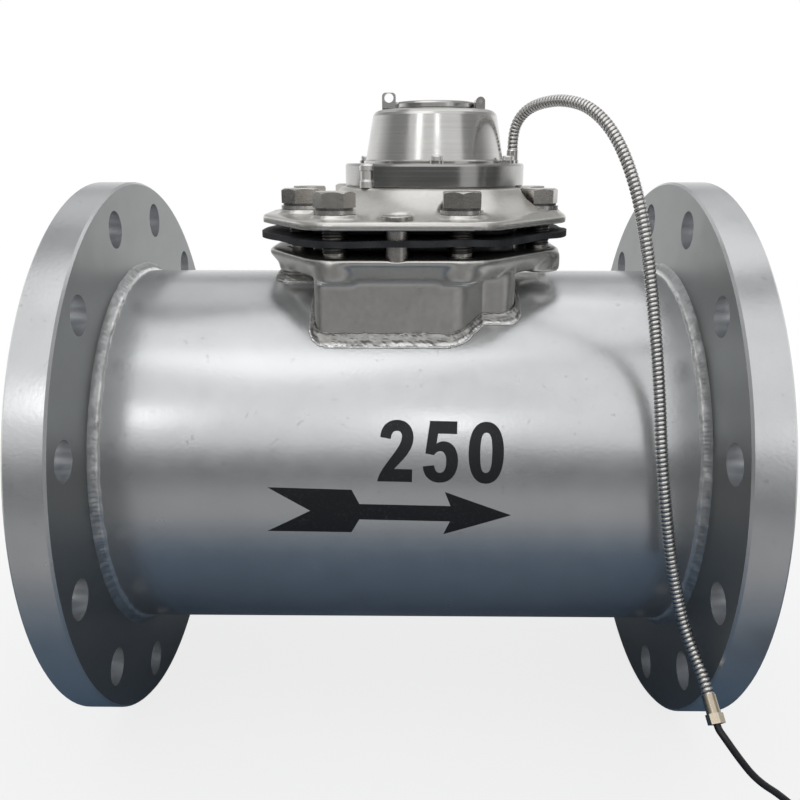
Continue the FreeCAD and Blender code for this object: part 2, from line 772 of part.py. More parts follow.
def input_arbor():
    x, y = arbors[0]
    pinion = spur(pinion_teeth, clock_module, 0.8, arbor_headings[0], x, y, gear_level[1] - 1, 4.0)
    return fuse([arbor(0, can_low + 2.8), pinion])


def follower_magnet():
    x, y = arbors[0]
    disc = cyl(14.0, 5.5, x, y, can_low + 3.2)
    disc = disc.makeFillet(0.8, [e for e in disc.Edges if e.Curve.TypeId == "Part::GeomCircle"])
    return disc.cut(cyl(arbor_radius, 5.5, x, y, can_low + 3.2))


pointer_low = dial_low + dial_thickness + 0.8


def leak_star():
    x, y = arbors[0]
    points = []
    for i in range(12):
        radius = 6.5 if i % 2 == 0 else 3.4
        a = math.radians(30 * i)
        points.append(at(x + radius * math.cos(a), y + radius * math.sin(a), pointer_low))
    star = Part.Face(Part.makePolygon(points + points[:1])).extrude(V(0, 0, 1.0))
    return star.cut(cyl(arbor_radius, 1.0, x, y, pointer_low))


def train_gear(i):
    # wheel driven by the arbor before it, with the pinion that drives the next one
    x, y = arbors[i]
    phase = arbor_headings[i - 1] + 180.0 + 180.0 / gear_teeth
    wheel = spur(gear_teeth, clock_module, 0.7, phase, x, y, gear_level[i], 2.0)
    spokes = []
    for k in range(4):
        a = math.radians(45 + 90 * k)
        spokes.append(cyl(4.0, 2.0, x + 8.5 * math.cos(a), y + 8.5 * math.sin(a), gear_level[i]))
    pieces = [arbor(i, plate_low), wheel.cut(group(spokes))]
    if i < len(arbors) - 1:
        turn = arbor_headings[i]
        pieces.append(spur(pinion_teeth, clock_module, 0.8, turn, x, y, gear_level[i] + 2.0, 6.0))
    return fuse(pieces)


def pointer(i, turn):
    x, y = arbors[i]
    outline = [at(x - 4, y - 1.2, pointer_low), at(x + 1, y - 1.4, pointer_low), at(x + 5.6, y, pointer_low),
               at(x + 1, y + 1.4, pointer_low), at(x - 4, y + 1.2, pointer_low)]
    hand = Part.Face(Part.makePolygon(outline + outline[:1])).extrude(V(0, 0, 0.8))
    hand = fuse([hand, cyl(2.2, 1.4, x, y, pointer_low)]).cut(cyl(arbor_radius, 2, x, y, pointer_low))
    hand.rotate(at(x, y, 0), AXIS_Z, turn)
    return hand


def register_lens():
    disc = cyl(can_radius - 0.2, 4.0, register_x, 0, can_top)
    return disc.makeFillet(0.8, [e for e in disc.Edges if e.Curve.TypeId == "Part::GeomCircle"])


def lens_gasket():
    low = can_top + 4.0
    high = dome_top - dome_wall
    ring = cyl(can_radius - 0.6, high - low, register_x, 0, low)
    return ring.cut(cyl(window_radius + 2, high - low, register_x, 0, low))


knuckle_half = 6.0
ear_width = 5.5
ear_gap = 0.35


def hasp_plate(x, y, low):
    plate = Part.makeBox(hasp_width, hasp_thickness, hasp_top - low, at(x - hasp_width / 2, y, low))
    corners = [e for e in plate.Edges if e.BoundBox.YLength > 1 and e.BoundBox.ZMin > hasp_top - 0.1]
    return plate.makeFillet(2.5, [e for e in corners if e.BoundBox.XLength < 0.1])


def register_lid():
    r = lid_radius
    profile = [(lid_low, 0), (lid_low, r - 1.2), (lid_low + 1.2, r), (lid_top - 1.6, r),
               (lid_top - 0.5, r - 0.6), (lid_top, r - 2.0), (lid_top + 0.6, 0)]
    disc = turned(profile, at(register_x, 0, 0), AXIS_Z, AXIS_X)
    disc = disc.cut(cyl(r - 4.0, 2.4, register_x, 0, lid_low))
    knuckle = cyl(knuckle_radius, 2 * knuckle_half, hinge_x, -knuckle_half, hinge_z, AXIS_Y)
    bridge = Part.makeBox(9.0, 2 * knuckle_half, 3.0, at(hinge_x - 9.0, -knuckle_half, lid_top - 3.4))
    tab = hasp_plate(hasp_x, -hasp_thickness - 0.2, lid_low + 1)
    arm = Part.makeBox(12.0, hasp_thickness, 2.6, at(hasp_x, -hasp_thickness - 0.2, lid_low + 2.4))
    solid = fuse([disc, knuckle, bridge, tab, arm])
    solid = solid.cut(cyl(hasp_hole, 10, hasp_x, -6, hasp_hole_z, AXIS_Y))
    return solid.cut(cyl(pin_radius + running, 40, hinge_x, -20, hinge_z, AXIS_Y))


def hinge_bracket():
    ears = []
    for side in (-1, 1):
        start = knuckle_half + ear_gap if side > 0 else -knuckle_half - ear_gap - ear_width
        barrel = cyl(knuckle_radius, ear_width, hinge_x, start, hinge_z, AXIS_Y)
        corner = at(hinge_x - knuckle_radius, start, dome_top)
        foot = Part.makeBox(2 * knuckle_radius, ear_width, hinge_z - dome_top, corner)
        ears.append(fuse([barrel, foot]).cut(cyl(pin_radius, ear_width, hinge_x, start, hinge_z, AXIS_Y)))
    return group(ears)


def hinge_pin():
    reach = knuckle_half + ear_gap + ear_width
    return cyl(pin_radius, 2 * reach, hinge_x, -reach, hinge_z, AXIS_Y)


def seal_staple():
    # fixed lug behind the tab of the lid, standing on the dome
    lug = hasp_plate(hasp_x, 0.3, dome_top)
    lid_room = cyl(lid_radius + 0.5, 20, register_x, 0, dome_top)
    return lug.cut(lid_room).cut(cyl(hasp_hole, 10, hasp_x, -2, hasp_hole_z, AXIS_Y))


sensor_start = register_x + can_radius + 0.6


def reed_sensor():
    box = Part.makeBox(8.0, 14.0, 10.5, at(sensor_start, -7.0, cover_top + 2.5))
    return box.makeFillet(1.0, [e for e in box.Edges if e.BoundBox.ZLength > 10])


def sensor_lead():
    level = lead_level
    start = sensor_start + 8.0
    bend = 3.0
    dip = bend * (1 - math.sqrt(0.5))
    turn_in, turn_out = at(nipple_x - bend, 0, level), at(nipple_x, 0, level + bend)
    edges = [
        Part.LineSegment(at(start, 0, level), turn_in).toShape(),
        Part.Arc(turn_in, at(nipple_x - dip, 0, level + dip), turn_out).toShape(),
        Part.LineSegment(turn_out, at(nipple_x, 0, nipple_top)).toShape(),
    ]
    section = Part.Wire(Part.makeCircle(lead_radius, at(start, 0, level), AXIS_X))
    return Part.Wire(edges).makePipeShell([section], True, True)


def conduit_nipple():
    profile = [(collar_top, 2.2), (collar_top, 4.7), (collar_top + 1.6, 4.7), (collar_top + 2.2, 4.3),
               (collar_top + 8.6, 4.3), (nipple_top, 3.8), (nipple_top, 2.2)]
    return turned(profile, at(nipple_x, 0, 0), AXIS_Z, AXIS_X)


def tube(points, diameter, label):
    # straight runs joined by tangent arcs, each as large as its two runs allow
    edges = []
    radii = []
    here = points[0]
    for i in range(1, len(points) - 1):
        p = points[i]
        before = points[i - 1] - p
        after = points[i + 1] - p
        shorter = min(before.Length, after.Length)
        before.normalize()
        after.normalize()
        half_turn = (math.pi - before.getAngle(after)) / 2
        reach = 0.45 * shorter
        radius = reach / math.tan(half_turn)
        bisector = before + after
        bisector.normalize()
        middle = p + bisector * (radius / math.cos(half_turn) - radius)
        edges.append(Part.LineSegment(here, p + before * reach).toShape())
        edges.append(Part.Arc(p + before * reach, middle, p + after * reach).toShape())
        here = p + after * reach
        radii.append(round(radius, 1))
    edges.append(Part.LineSegment(here, points[-1]).toShape())
    path = Part.Wire(edges)
    section = Part.Wire(Part.makeCircle(diameter / 2, points[0], points[1] - points[0]))
    solid = path.makePipeShell([section], True, True)
    expected = math.pi * diameter ** 2 / 4 * path.Length
    share = round(solid.Volume / expected, 4)
    print(label, "length", round(path.Length, 1), "radii", radii, "volume share", share)
    return solid


conduit_points = [at(*p) for p in conduit_route]
conduit_end = conduit_points[-1]
conduit_last = conduit_end - conduit_points[-2]
conduit_last.normalize()
ferrule_end = conduit_end + conduit_last * ferrule_length


def armoured_conduit():
    return tube(conduit_points, conduit_diameter, "conduit")


def conduit_ferrule():
    body_length = ferrule_length - nut_length
    body = Part.makeCylinder(conduit_diameter / 2 + 0.9, body_length, conduit_end, conduit_last)
    nut_start = conduit_end + conduit_last * body_length
    side = conduit_last.cross(AXIS_Z)
    side.normalize()
    up = side.cross(conduit_last)
    corners = []
    for i in range(6):
        a = math.radians(60 * i + 30)
        corners.append(nut_start + (side * math.cos(a) + up * math.sin(a)) * 6.9)
    nut = Part.Face(Part.makePolygon(corners + corners[:1])).extrude(conduit_last * nut_length)
    return fuse([body, nut])


def signal_cable():
    points = [ferrule_end, ferrule_end + conduit_last * cable_start] + [at(*p) for p in cable_route]
    return tube(points, cable_diameter, "cable")


def cable_coil():
    # outer form of the tied turns, with the free end of the cable leaving the outermost one
    x, y = coil_centre
    ring = cyl(coil_outer, coil_height, x, y, coil_low).cut(cyl(coil_inner, coil_height, x, y, coil_low))
    ring = ring.makeFillet(3.5, [e for e in ring.Edges if e.Curve.TypeId == "Part::GeomCircle"])
    radius = cable_diameter / 2
    tail = cyl(radius, coil_tail, x, y - coil_outer + radius, coil_low + radius, AXIS_X * -1)
    return fuse([ring, tail])


def coil_tie():
    x, y = coil_centre
    width, band, play, lift = 6.0, 1.0, 0.6, 0.2
    frames = []
    for grow in (0.0, band):
        corner = at(x + coil_inner - play - grow, y - width / 2, coil_low - lift - grow)
        across = coil_outer - coil_inner + 2 * (play + grow)
        frames.append(Part.makeBox(across, width, coil_height + 2 * (lift + grow), corner))
    inner, outer = frames
    outer = outer.makeFillet(0.9, [e for e in outer.Edges if e.BoundBox.YLength > width - 0.1])
    return outer.cut(inner)


def lead_ends():
    x, y = coil_centre
    radius = cable_diameter / 2
    middle = y - coil_outer + radius
    level = coil_low + radius
    ends = (middle - core_radius - 0.2, middle + core_radius + 0.2)
    return group([cyl(core_radius, core_length, x - coil_tail, end, level, AXIS_X * -1) for end in ends])


nodes = {
    "body_pipe": body_pipe(),
    "inlet_flange": flange(0, 1),
    "outlet_flange": flange(face_to_face, -1),
    "inlet_flange_weld": flange_weld(0, 1),
    "outlet_flange_weld": flange_weld(face_to_face, -1),
    "neck_housing": neck_housing(),
    "neck_weld": neck_weld(),
    "cover_gasket": cover_gasket(),
    "cover_plate": cover_plate(),
    "cover_bolts": cover_bolts(),
    "flat_washers": flat_washers(),
    "spring_washers": spring_washers(),
    "locating_dowel": locating_dowel(),
    "measuring_chamber": measuring_chamber(),
    "inlet_guide": inlet_guide(),
    "outlet_guide": outlet_guide(),
    "outlet_cone": outlet_cone(),
    "rotor_bushes": rotor_bushes(),
    "thrust_jewels": thrust_jewels(),
    "turbine_rotor": turbine_rotor(),
    "rotor_shaft": rotor_shaft(),
    "worm_wheel": worm_wheel(),
    "drive_spindle": drive_spindle(),
    "spindle_bushes": spindle_bushes(),
    "drive_magnet": drive_magnet(),
    "element_column": element_column(),
    "column_screws": column_screws(),
    "register_collar": register_collar(),
    "seal_screw": seal_screw(),
    "register_dome": register_dome(),
    "dome_screws": dome_screws(),
    "register_can": register_can(),
    "movement_plate": movement_plate(),
    "movement_pillars": movement_pillars(),
    "dial_plate": dial_plate(),
    "input_arbor": input_arbor(),
    "follower_magnet": follower_magnet(),
    "leak_star": leak_star(),
    "tenths_gear": train_gear(1),
    "tenths_pointer": pointer(1, 90),
    "units_gear": train_gear(2),
    "units_pointer": pointer(2, 40),
    "tens_gear": train_gear(3),
    "tens_pointer": pointer(3, 130),
    "register_lens": register_lens(),
    "lens_gasket": lens_gasket(),
    "register_lid": register_lid(),
    "hinge_bracket": hinge_bracket(),
    "hinge_pin": hinge_pin(),
    "seal_staple": seal_staple(),
    "reed_sensor": reed_sensor(),
    "sensor_lead": sensor_lead(),
    "conduit_nipple": conduit_nipple(),
    "armoured_conduit": armoured_conduit(),
    "conduit_ferrule": conduit_ferrule(),
    "signal_cable": signal_cable(),
    "cable_coil": cable_coil(),
    "coil_tie": coil_tie(),
    "lead_ends": lead_ends(),
}
for name, shape in nodes.items():
    print(name, shape.isValid(), len(shape.Solids), round(shape.Volume, 1))
    shape.exportStep("parts/" + name + ".step")
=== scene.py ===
import bmesh
import bpy
import json
import math
from mathutils import Matrix, Vector, noise


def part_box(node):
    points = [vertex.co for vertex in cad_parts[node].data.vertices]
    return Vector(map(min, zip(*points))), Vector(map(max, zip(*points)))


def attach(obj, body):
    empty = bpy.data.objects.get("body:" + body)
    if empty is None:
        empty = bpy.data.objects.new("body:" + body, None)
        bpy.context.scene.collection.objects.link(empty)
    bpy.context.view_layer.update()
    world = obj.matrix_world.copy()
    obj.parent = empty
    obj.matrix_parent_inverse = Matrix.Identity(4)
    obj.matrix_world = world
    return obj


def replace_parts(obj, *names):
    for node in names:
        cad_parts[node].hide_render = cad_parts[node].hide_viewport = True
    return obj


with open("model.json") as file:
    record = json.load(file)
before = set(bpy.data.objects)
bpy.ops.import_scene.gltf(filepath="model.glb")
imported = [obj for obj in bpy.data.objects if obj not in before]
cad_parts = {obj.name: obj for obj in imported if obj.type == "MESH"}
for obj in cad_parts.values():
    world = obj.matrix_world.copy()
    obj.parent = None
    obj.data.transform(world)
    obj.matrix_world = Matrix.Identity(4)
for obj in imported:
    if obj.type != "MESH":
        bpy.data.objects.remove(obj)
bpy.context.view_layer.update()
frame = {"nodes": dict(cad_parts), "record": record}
nodes = frame["nodes"]
pipeMiddle = 0.225  # along x, from the inlet face
pipeRadius = 0.1365
sharpAngle = 0.6  # radians, past which an edge stays sharp
mergeGap = 1e-6


def place(x, y, z):
    # millimetres from the middle of the pipe to metres in the frame
    return Vector((pipeMiddle + x / 1000, y / 1000, z / 1000))


def show(name, data):
    shown = bpy.data.objects.new(name, data)
    bpy.context.scene.collection.objects.link(shown)
    return shown


# shader helpers
class Value:
    def __init__(self, sheet, socket):
        self.sheet = sheet
        self.socket = socket

    def __add__(self, other):
        return self.sheet.maths("ADD", self, other)

    def __radd__(self, other):
        return self.sheet.maths("ADD", other, self)

    def __sub__(self, other):
        return self.sheet.maths("SUBTRACT", self, other)

    def __rsub__(self, other):
        return self.sheet.maths("SUBTRACT", other, self)

    def __mul__(self, other):
        return self.sheet.maths("MULTIPLY", self, other)

    def __rmul__(self, other):
        return self.sheet.maths("MULTIPLY", other, self)


class Sheet:
    def __init__(self, owner):
        owner.use_nodes = True
        self.tree = owner.node_tree
        self.tree.nodes.clear()

    def node(self, kind, settings=None, inputs=None, output=0):
        made = self.tree.nodes.new(kind)
        for key, setting in (settings or {}).items():
            if key == "stops":
                ramp = made.color_ramp
                while len(ramp.elements) < len(setting):
                    ramp.elements.new(0.5)
                for element, (position, colour) in zip(ramp.elements, setting):
                    element.position = position
                    element.color = colour
            else:
                setattr(made, key, setting)
        for key, given in (inputs or {}).items():
            if isinstance(given, Value):
                self.tree.links.new(given.socket, made.inputs[key])
            else:
                made.inputs[key].default_value = given
        return Value(self, made.outputs[output]) if made.outputs else made

    def maths(self, operation, *given):
        return self.node("ShaderNodeMath", {"operation": operation}, dict(enumerate(given)))

    def axis(self, vector, index):
        return self.node("ShaderNodeSeparateXYZ", inputs={0: vector}, output=index)

    def mapped(self, scale=(1, 1, 1), turn=(0, 0, 0), shift=(0, 0, 0)):
        spot = self.node("ShaderNodeTexCoord", output="Object")
        return self.node("ShaderNodeMapping", inputs={0: spot, 1: shift, 2: turn, 3: scale})

    def grain(self, scale, detail=3.0, vector=None):
        return self.node("ShaderNodeTexNoise", inputs={
            "Vector": vector or self.mapped(), "Scale": scale, "Detail": detail})

    def blend(self, factor, a, b):
        # sockets 6 and 7 and output 2 are the ones for colour
        return self.node("ShaderNodeMix", {"data_type": "RGBA"}, {0: factor, 6: a, 7: b}, 2)

    def ramp(self, factor, low, high, a=0.0, b=1.0):
        return self.node("ShaderNodeMapRange", {"clamp": True}, {0: factor, 1: low, 2: high, 3: a, 4: b})

    def bump(self, height, strength, depth):
        return self.node("ShaderNodeBump", inputs={
            "Height": height, "Strength": strength, "Distance": depth})

    def rays(self):
        kinds = ("Is Camera Ray", "Is Glossy Ray", "Is Transmission Ray")
        return [self.node("ShaderNodeLightPath", output=kind) for kind in kinds]

    def surface(self, **inputs):
        keys = {"colour": "Base Color", "rough": "Roughness", "metal": "Metallic", "normal": "Normal",
                "coat": "Coat Weight", "alpha": "Alpha"}
        shader = self.node("ShaderNodeBsdfPrincipled", inputs={keys[k]: v for k, v in inputs.items()})
        self.node("ShaderNodeOutputMaterial", inputs={0: shader})


def tone(r, g, b):
    return (r, g, b, 1.0)


def newFinish(name):
    finish = bpy.data.materials.new(name)
    return finish, Sheet(finish)


# finishes
def silverPaint(name, base, light, rough, facing=None):
    finish, s = newFinish(name)
    flakeTone = tone(0.86, 0.88, 0.9)
    dustTone = tone(0.3, 0.31, 0.33)
    cloud = s.grain(7.0, 4.0)
    mottle = s.grain(60.0, 5.0)
    flake = s.grain(1400.0, 1.0)
    dust = s.ramp(s.grain(190.0, 2.0), 0.68, 0.74)
    shade = s.blend(s.ramp(cloud * 0.7 + mottle * 0.3, 0.35, 0.65), base, light)
    shade = s.blend(s.ramp(flake, 0.35, 0.75) * 0.16, shade, flakeTone)
    shade = s.blend(dust * 0.22, shade, dustTone)
    gloss = rough + 0.1 * mottle
    if facing:  # painted shade: the faces of the flange darker in colour, with a duller coat
        across = s.axis(s.node("ShaderNodeTexCoord", output="Normal"), 0)
        flat = s.ramp(s.maths("ABSOLUTE", across), 0.8, 0.97)
        shade = s.blend(flat * (0.85 + 0.15 * cloud), shade, facing)
        gloss = gloss + 0.16 * flat
    orangePeel = s.bump(s.grain(420.0, 2.0), 0.12, 0.0004)
    s.surface(colour=shade, rough=gloss, metal=0.82, normal=orangePeel)
    return finish


def satinSteel(name, base, light, rough, stretch, grainScale, depth=0.05, gapShadeBand=None):
    finish, s = newFinish(name)
    smearTone = tone(0.36, 0.35, 0.34)
    gapShadeTone = tone(0.02, 0.023, 0.028)
    brush = s.grain(grainScale, 3.0, s.mapped(stretch))
    cloud = s.grain(16.0, 4.0)
    smear = s.ramp(s.grain(38.0, 5.0), 0.5, 0.72)
    shade = s.blend(s.ramp(brush * 0.5 + cloud * 0.5, 0.3, 0.7), base, light)
    shade = s.blend(smear * 0.14, shade, smearTone)
    if gapShadeBand:  # painted shade between two heights, darkening the gap round the gasket
        low, high = gapShadeBand
        fade = 0.0006
        height = s.axis(s.mapped(), 2)
        gapShadeMask = s.ramp(height, low, low + fade) * s.ramp(height, high - fade, high, 1.0, 0.0)
        # painted shade: the colour goes nearly black inside the gap
        shade = s.blend(gapShadeMask * (0.84 + 0.14 * cloud), shade, gapShadeTone)
    s.surface(colour=shade, rough=rough + 0.12 * brush + 0.08 * smear, metal=1.0,
              normal=s.bump(brush, depth, 0.0003))
    return finish


def bareWeld(name, toeRadius):
    finish, s = newFinish(name)
    base, light = tone(0.3, 0.297, 0.286), tone(0.43, 0.425, 0.41)
    strokeTone = tone(0.66, 0.66, 0.64)
    toeHighlightTone = tone(0.92, 0.92, 0.91)
    lump = s.grain(130.0, 4.0)
    slanted = s.mapped((1, 1, 4.5), (0.0, 0.7, 0.0))
    stroke = s.ramp(s.grain(95.0, 3.0, slanted), 0.54, 0.66)
    across = s.axis(s.mapped(), 1)
    height = s.axis(s.mapped(), 2)
    away = s.maths("SQRT", across * across + height * height)
    toeHighlight = s.ramp(away + 0.0012 * lump, toeRadius, toeRadius + 0.0007, 1.0, 0.0)  # painted highlight: a thin bright line along the edge on the pipe
    shade = s.blend(s.ramp(lump, 0.35, 0.65), base, light)
    shade = s.blend(stroke * 0.35, shade, strokeTone)
    # painted highlight along the toe of the bead
    shade = s.blend(toeHighlight * 0.8, shade, toeHighlightTone)
    s.surface(colour=shade, rough=0.24 + 0.2 * lump - 0.1 * toeHighlight, metal=0.9,
              normal=s.bump(s.grain(420.0, 4.0), 0.4, 0.0006))
    return finish


def weldMetal(name, toeNear, toeFar):
    finish, s = newFinish(name)
    base, light = tone(0.42, 0.43, 0.435), tone(0.55, 0.56, 0.565)
    glintTone = tone(0.7, 0.71, 0.72)
    toeHighlightTone = tone(0.9, 0.9, 0.9)
    lump = s.grain(110.0, 4.0)
    glint = s.ramp(s.grain(520.0, 3.0), 0.5, 0.75)
    along = s.axis(s.mapped(shift=(-pipeMiddle, 0, 0)), 0)
    reach = s.maths("ABSOLUTE", along) + 0.0022 * lump
    toeHighlight = s.ramp(reach, toeNear, toeFar, 1.0, 0.0)  # painted highlight: a thin bright line along the edge of each bead on the pipe
    shade = s.blend(s.ramp(lump, 0.32, 0.66), base, light)
    # painted glints: bright specks scattered over the bead
    shade = s.blend(glint * 0.2, shade, glintTone)
    # painted highlight along the toe of each bead
    shade = s.blend(toeHighlight, shade, toeHighlightTone)
    s.surface(colour=shade, rough=0.3 + 0.2 * lump - 0.1 * toeHighlight, metal=0.8,
              normal=s.bump(s.grain(330.0, 4.0), 0.35, 0.0008))
    return finish


def woundSteel(name, base, light, grooveShadeTone):
    finish, s = newFinish(name)
    depth = s.node("ShaderNodeAttribute", {"attribute_name": "groove"}, output=2)
    groove = s.ramp(depth, 0.25, 0.75)
    cloud = s.grain(60.0, 4.0)
    fine = s.grain(900.0, 2.0)
    shade = s.blend(s.ramp(cloud * 0.5 + fine * 0.5, 0.35, 0.65), base, light)
    # painted shade: the colour darkens towards the bottom of each groove in the winding
    shade = s.blend(groove * (0.8 + 0.2 * cloud), shade, grooveShadeTone)
    s.surface(colour=shade, rough=0.16 + 0.08 * cloud + 0.3 * groove, metal=1.0,
              normal=s.bump(fine, 0.04, 0.0003))
    return finish


def moulded(name, base, light, rough, grainScale=500.0, metal=0.0, depth=0.15):
    finish, s = newFinish(name)
    cloud = s.grain(40.0, 4.0)
    fine = s.grain(grainScale, 3.0)
    shade = s.blend(s.ramp(cloud * 0.6 + fine * 0.4, 0.32, 0.68), base, light)
    s.surface(colour=shade, rough=rough + 0.14 * cloud, metal=metal, normal=s.bump(fine, depth, 0.0003))
    return finish


def sealSheet(name, base, light):
    finish, s = newFinish(name)
    rib = s.node("ShaderNodeTexWave", {"bands_direction": "X"},
                 {"Vector": s.mapped(), "Scale": 140.0, "Distortion": 1.2, "Detail": 2.0})
    bloom = s.grain(55.0, 5.0)
    shade = s.blend(s.ramp(bloom, 0.4, 0.75), base, light)
    s.surface(colour=shade, rough=0.5 + 0.25 * bloom, normal=s.bump(rib * 0.6 + bloom * 0.4, 0.3, 0.0005))
    return finish


def clearGlass(name, base, light, alpha):
    finish, s = newFinish(name)
    smudge = s.grain(30.0, 5.0)
    shade = s.blend(smudge, base, light)
    s.surface(colour=shade, rough=0.02 + 0.06 * smudge, alpha=alpha, coat=1.0)
    finish.surface_render_method = "BLENDED"
    return finish


def stencilInk(name, base, light):
    finish, s = newFinish(name)
    speck = s.ramp(s.grain(700.0, 3.0), 0.56, 0.7)
    wear = s.ramp(s.grain(26.0, 4.0), 0.45, 0.7)
    shade = s.blend(speck * (0.2 + 0.5 * wear), base, light)
    s.surface(colour=shade, rough=0.42 + 0.2 * wear, normal=s.bump(s.grain(800.0, 2.0), 0.15, 0.0002))
    return finish


paintTones = (tone(0.62, 0.632, 0.645), tone(0.72, 0.73, 0.74))
paintRough = 0.2
evenGrain = (1, 1, 1)
ringGrain = (3, 3, 420)  # fine rings round an upright turned piece
boltGrain = (1, 1, 3)
gasketGap = (0.1584, 0.1756)  # heights of the gap round the gasket, where the stamped steel gets painted shade
beadToes = (0.1949, 0.1962)  # where the flange beads thin out, from the middle of the pipe

finishes = {
    "silver_paint": silverPaint("silverPaint", *paintTones, paintRough),
    "weld_bead": weldMetal("weldMetal", *beadToes),
    "stainless": satinSteel("stampedSteel", tone(0.66, 0.65, 0.62), tone(0.76, 0.75, 0.72), 0.24,
                            evenGrain, 260.0, gapShadeBand=gasketGap),
    "bright_stainless": satinSteel("polishedSteel", tone(0.56, 0.555, 0.54), tone(0.66, 0.655, 0.64), 0.12,
                                   ringGrain, 3.0, 0.015),
    "fastener": satinSteel("boltSteel", tone(0.52, 0.5, 0.47), tone(0.59, 0.57, 0.54), 0.2,
                           boltGrain, 240.0, 0.012),
    "seal_rubber": sealSheet("sealRubber", tone(0.012, 0.013, 0.016), tone(0.05, 0.053, 0.06)),
    "element_plastic": moulded("elementPlastic", tone(0.1, 0.118, 0.14), tone(0.15, 0.17, 0.195), 0.42),
    "rotor_plastic": moulded("rotorPlastic", tone(0.07, 0.23, 0.45), tone(0.12, 0.3, 0.54), 0.32),
    "bearing": moulded("bushBrass", tone(0.56, 0.42, 0.2), tone(0.68, 0.53, 0.28), 0.3, 900.0, 1.0),
    "jewel": moulded("jewelRed", tone(0.4, 0.02, 0.05), tone(0.55, 0.05, 0.09), 0.08, 300.0, 0.0, 0.02),
    "wheel_plastic": moulded("wheelPlastic", tone(0.68, 0.65, 0.56), tone(0.78, 0.75, 0.67), 0.4),
    "magnet": moulded("magnetBlack", tone(0.03, 0.03, 0.033), tone(0.06, 0.06, 0.065), 0.45, 260.0, 0.4),
    "movement_brass": moulded("movementBrass", tone(0.6, 0.45, 0.2), tone(0.74, 0.58, 0.3), 0.24,
                              1200.0, 1.0, 0.05),
    "dial_white": moulded("dialEnamel", tone(0.74, 0.74, 0.71), tone(0.82, 0.82, 0.8), 0.35,
                          900.0, 0.0, 0.05),
    "pointer_red": moulded("pointerRed", tone(0.45, 0.02, 0.015), tone(0.58, 0.035, 0.025), 0.3,
                           600.0, 0.0, 0.05),
    "lens_glass": clearGlass("lensGlass", tone(0.82, 0.88, 0.88), tone(0.95, 0.97, 0.97), 0.1),
    "sensor_plastic": moulded("sensorBlack", tone(0.02, 0.02, 0.022), tone(0.045, 0.045, 0.05), 0.4),
    "cable_black": moulded("cableBlack", tone(0.012, 0.012, 0.014), tone(0.03, 0.03, 0.034), 0.34, 420.0),
    # the last tone here is the painted shade in the grooves of the winding
    "conduit_steel": woundSteel("conduitSteel", tone(0.68, 0.67, 0.65), tone(0.84, 0.83, 0.81),
                                tone(0.035, 0.034, 0.032)),
    "ferrule_nickel": satinSteel("ferruleNickel", tone(0.55, 0.47, 0.35), tone(0.68, 0.61, 0.5), 0.2,
                                 evenGrain, 300.0),
    "core_copper": moulded("coreCopper", tone(0.6, 0.32, 0.18), tone(0.74, 0.45, 0.28), 0.28, 900.0, 1.0),
}
for part in frame["record"]["subparts"]:
    node = nodes[part["node"]]
    node.data.materials.clear()
    node.data.materials.append(finishes[part["material_slot"]])

# pieces whose finish differs from the rest of their slot
# the facing tone is painted shade on the faces of the flange
flangePaint = silverPaint("flangePaint", *paintTones, paintRough, facing=tone(0.258, 0.27, 0.27))
# a dark copy of the bolt steel, as painted shade on the spring washers and the bolt threads in the gap
springShadedSteel = satinSteel("springShadedSteel", tone(0.13, 0.125, 0.12), tone(0.22, 0.21, 0.2), 0.3,
                         evenGrain, 700.0)
# a lighter copy of the bolt steel, as painted light on the flat washers
washerLitSteel = satinSteel("washerLitSteel", tone(0.66, 0.65, 0.63), tone(0.72, 0.71, 0.69), 0.2,
                         evenGrain, 300.0, 0.01)
# a darker copy of the steel, as painted shade on the hinge bracket and the seal staple
hingeShadedSteel = satinSteel("hingeShadedSteel", tone(0.3, 0.295, 0.285), tone(0.42, 0.415, 0.4), 0.22,
                        evenGrain, 300.0, 0.02)
# a darker copy of the polished steel, as painted shade on the collar
collarShadedSteel = satinSteel("collarShadedSteel", tone(0.42, 0.416, 0.405), tone(0.5, 0.496, 0.485), 0.12,
                         ringGrain, 3.0, 0.015)
# a lighter copy of the steel, as painted light on the seal screw and the dome screws
screwLitSteel = satinSteel("screwLitSteel", tone(0.8, 0.79, 0.77), tone(0.88, 0.87, 0.85), 0.34,
                        evenGrain, 300.0, 0.01)
ownFinishes = {
    "inlet_flange": flangePaint, "outlet_flange": flangePaint, "spring_washers": springShadedSteel,
    "flat_washers": washerLitSteel, "hinge_bracket": hingeShadedSteel, "seal_staple": hingeShadedSteel,
    "register_collar": collarShadedSteel, "seal_screw": screwLitSteel, "dome_screws": screwLitSteel,
}
for name, finish in ownFinishes.items():
    nodes[name].data.materials[0] = finish
inkBlack = stencilInk("stencilInk", tone(0.005, 0.006, 0.009), tone(0.05, 0.056, 0.068))
print("finishes on the frame:", len(nodes), "nodes")


# mesh helpers
def addPiece(name, mesh, slotName, finish=None, smooth=True):
    piece = show(name, mesh)
    mesh.materials.append(finish or finishes[slotName])
    if smooth:
        mesh.shade_smooth()
    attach(piece, "meter_body")
    return piece


def mergeDoubles(bm):
    bmesh.ops.remove_doubles(bm, verts=bm.verts, dist=mergeGap)


def cadCopy(nodeName):
    bm = bmesh.new()
    bm.from_mesh(nodes[nodeName].data)
    mergeDoubles(bm)
    return bm


def plainMesh(bm, name):
    mesh = bpy.data.meshes.new(name)
    bm.to_mesh(mesh)
    bm.free()
    return mesh


def closeMesh(bm, name):
    mergeDoubles(bm)
    bmesh.ops.recalc_face_normals(bm, faces=bm.faces)
    mesh = plainMesh(bm, name)
    stale = mesh.attributes.get("custom_normal")  # left over where a CAD mesh was the start
    if stale:
        mesh.attributes.remove(stale)
    return mesh


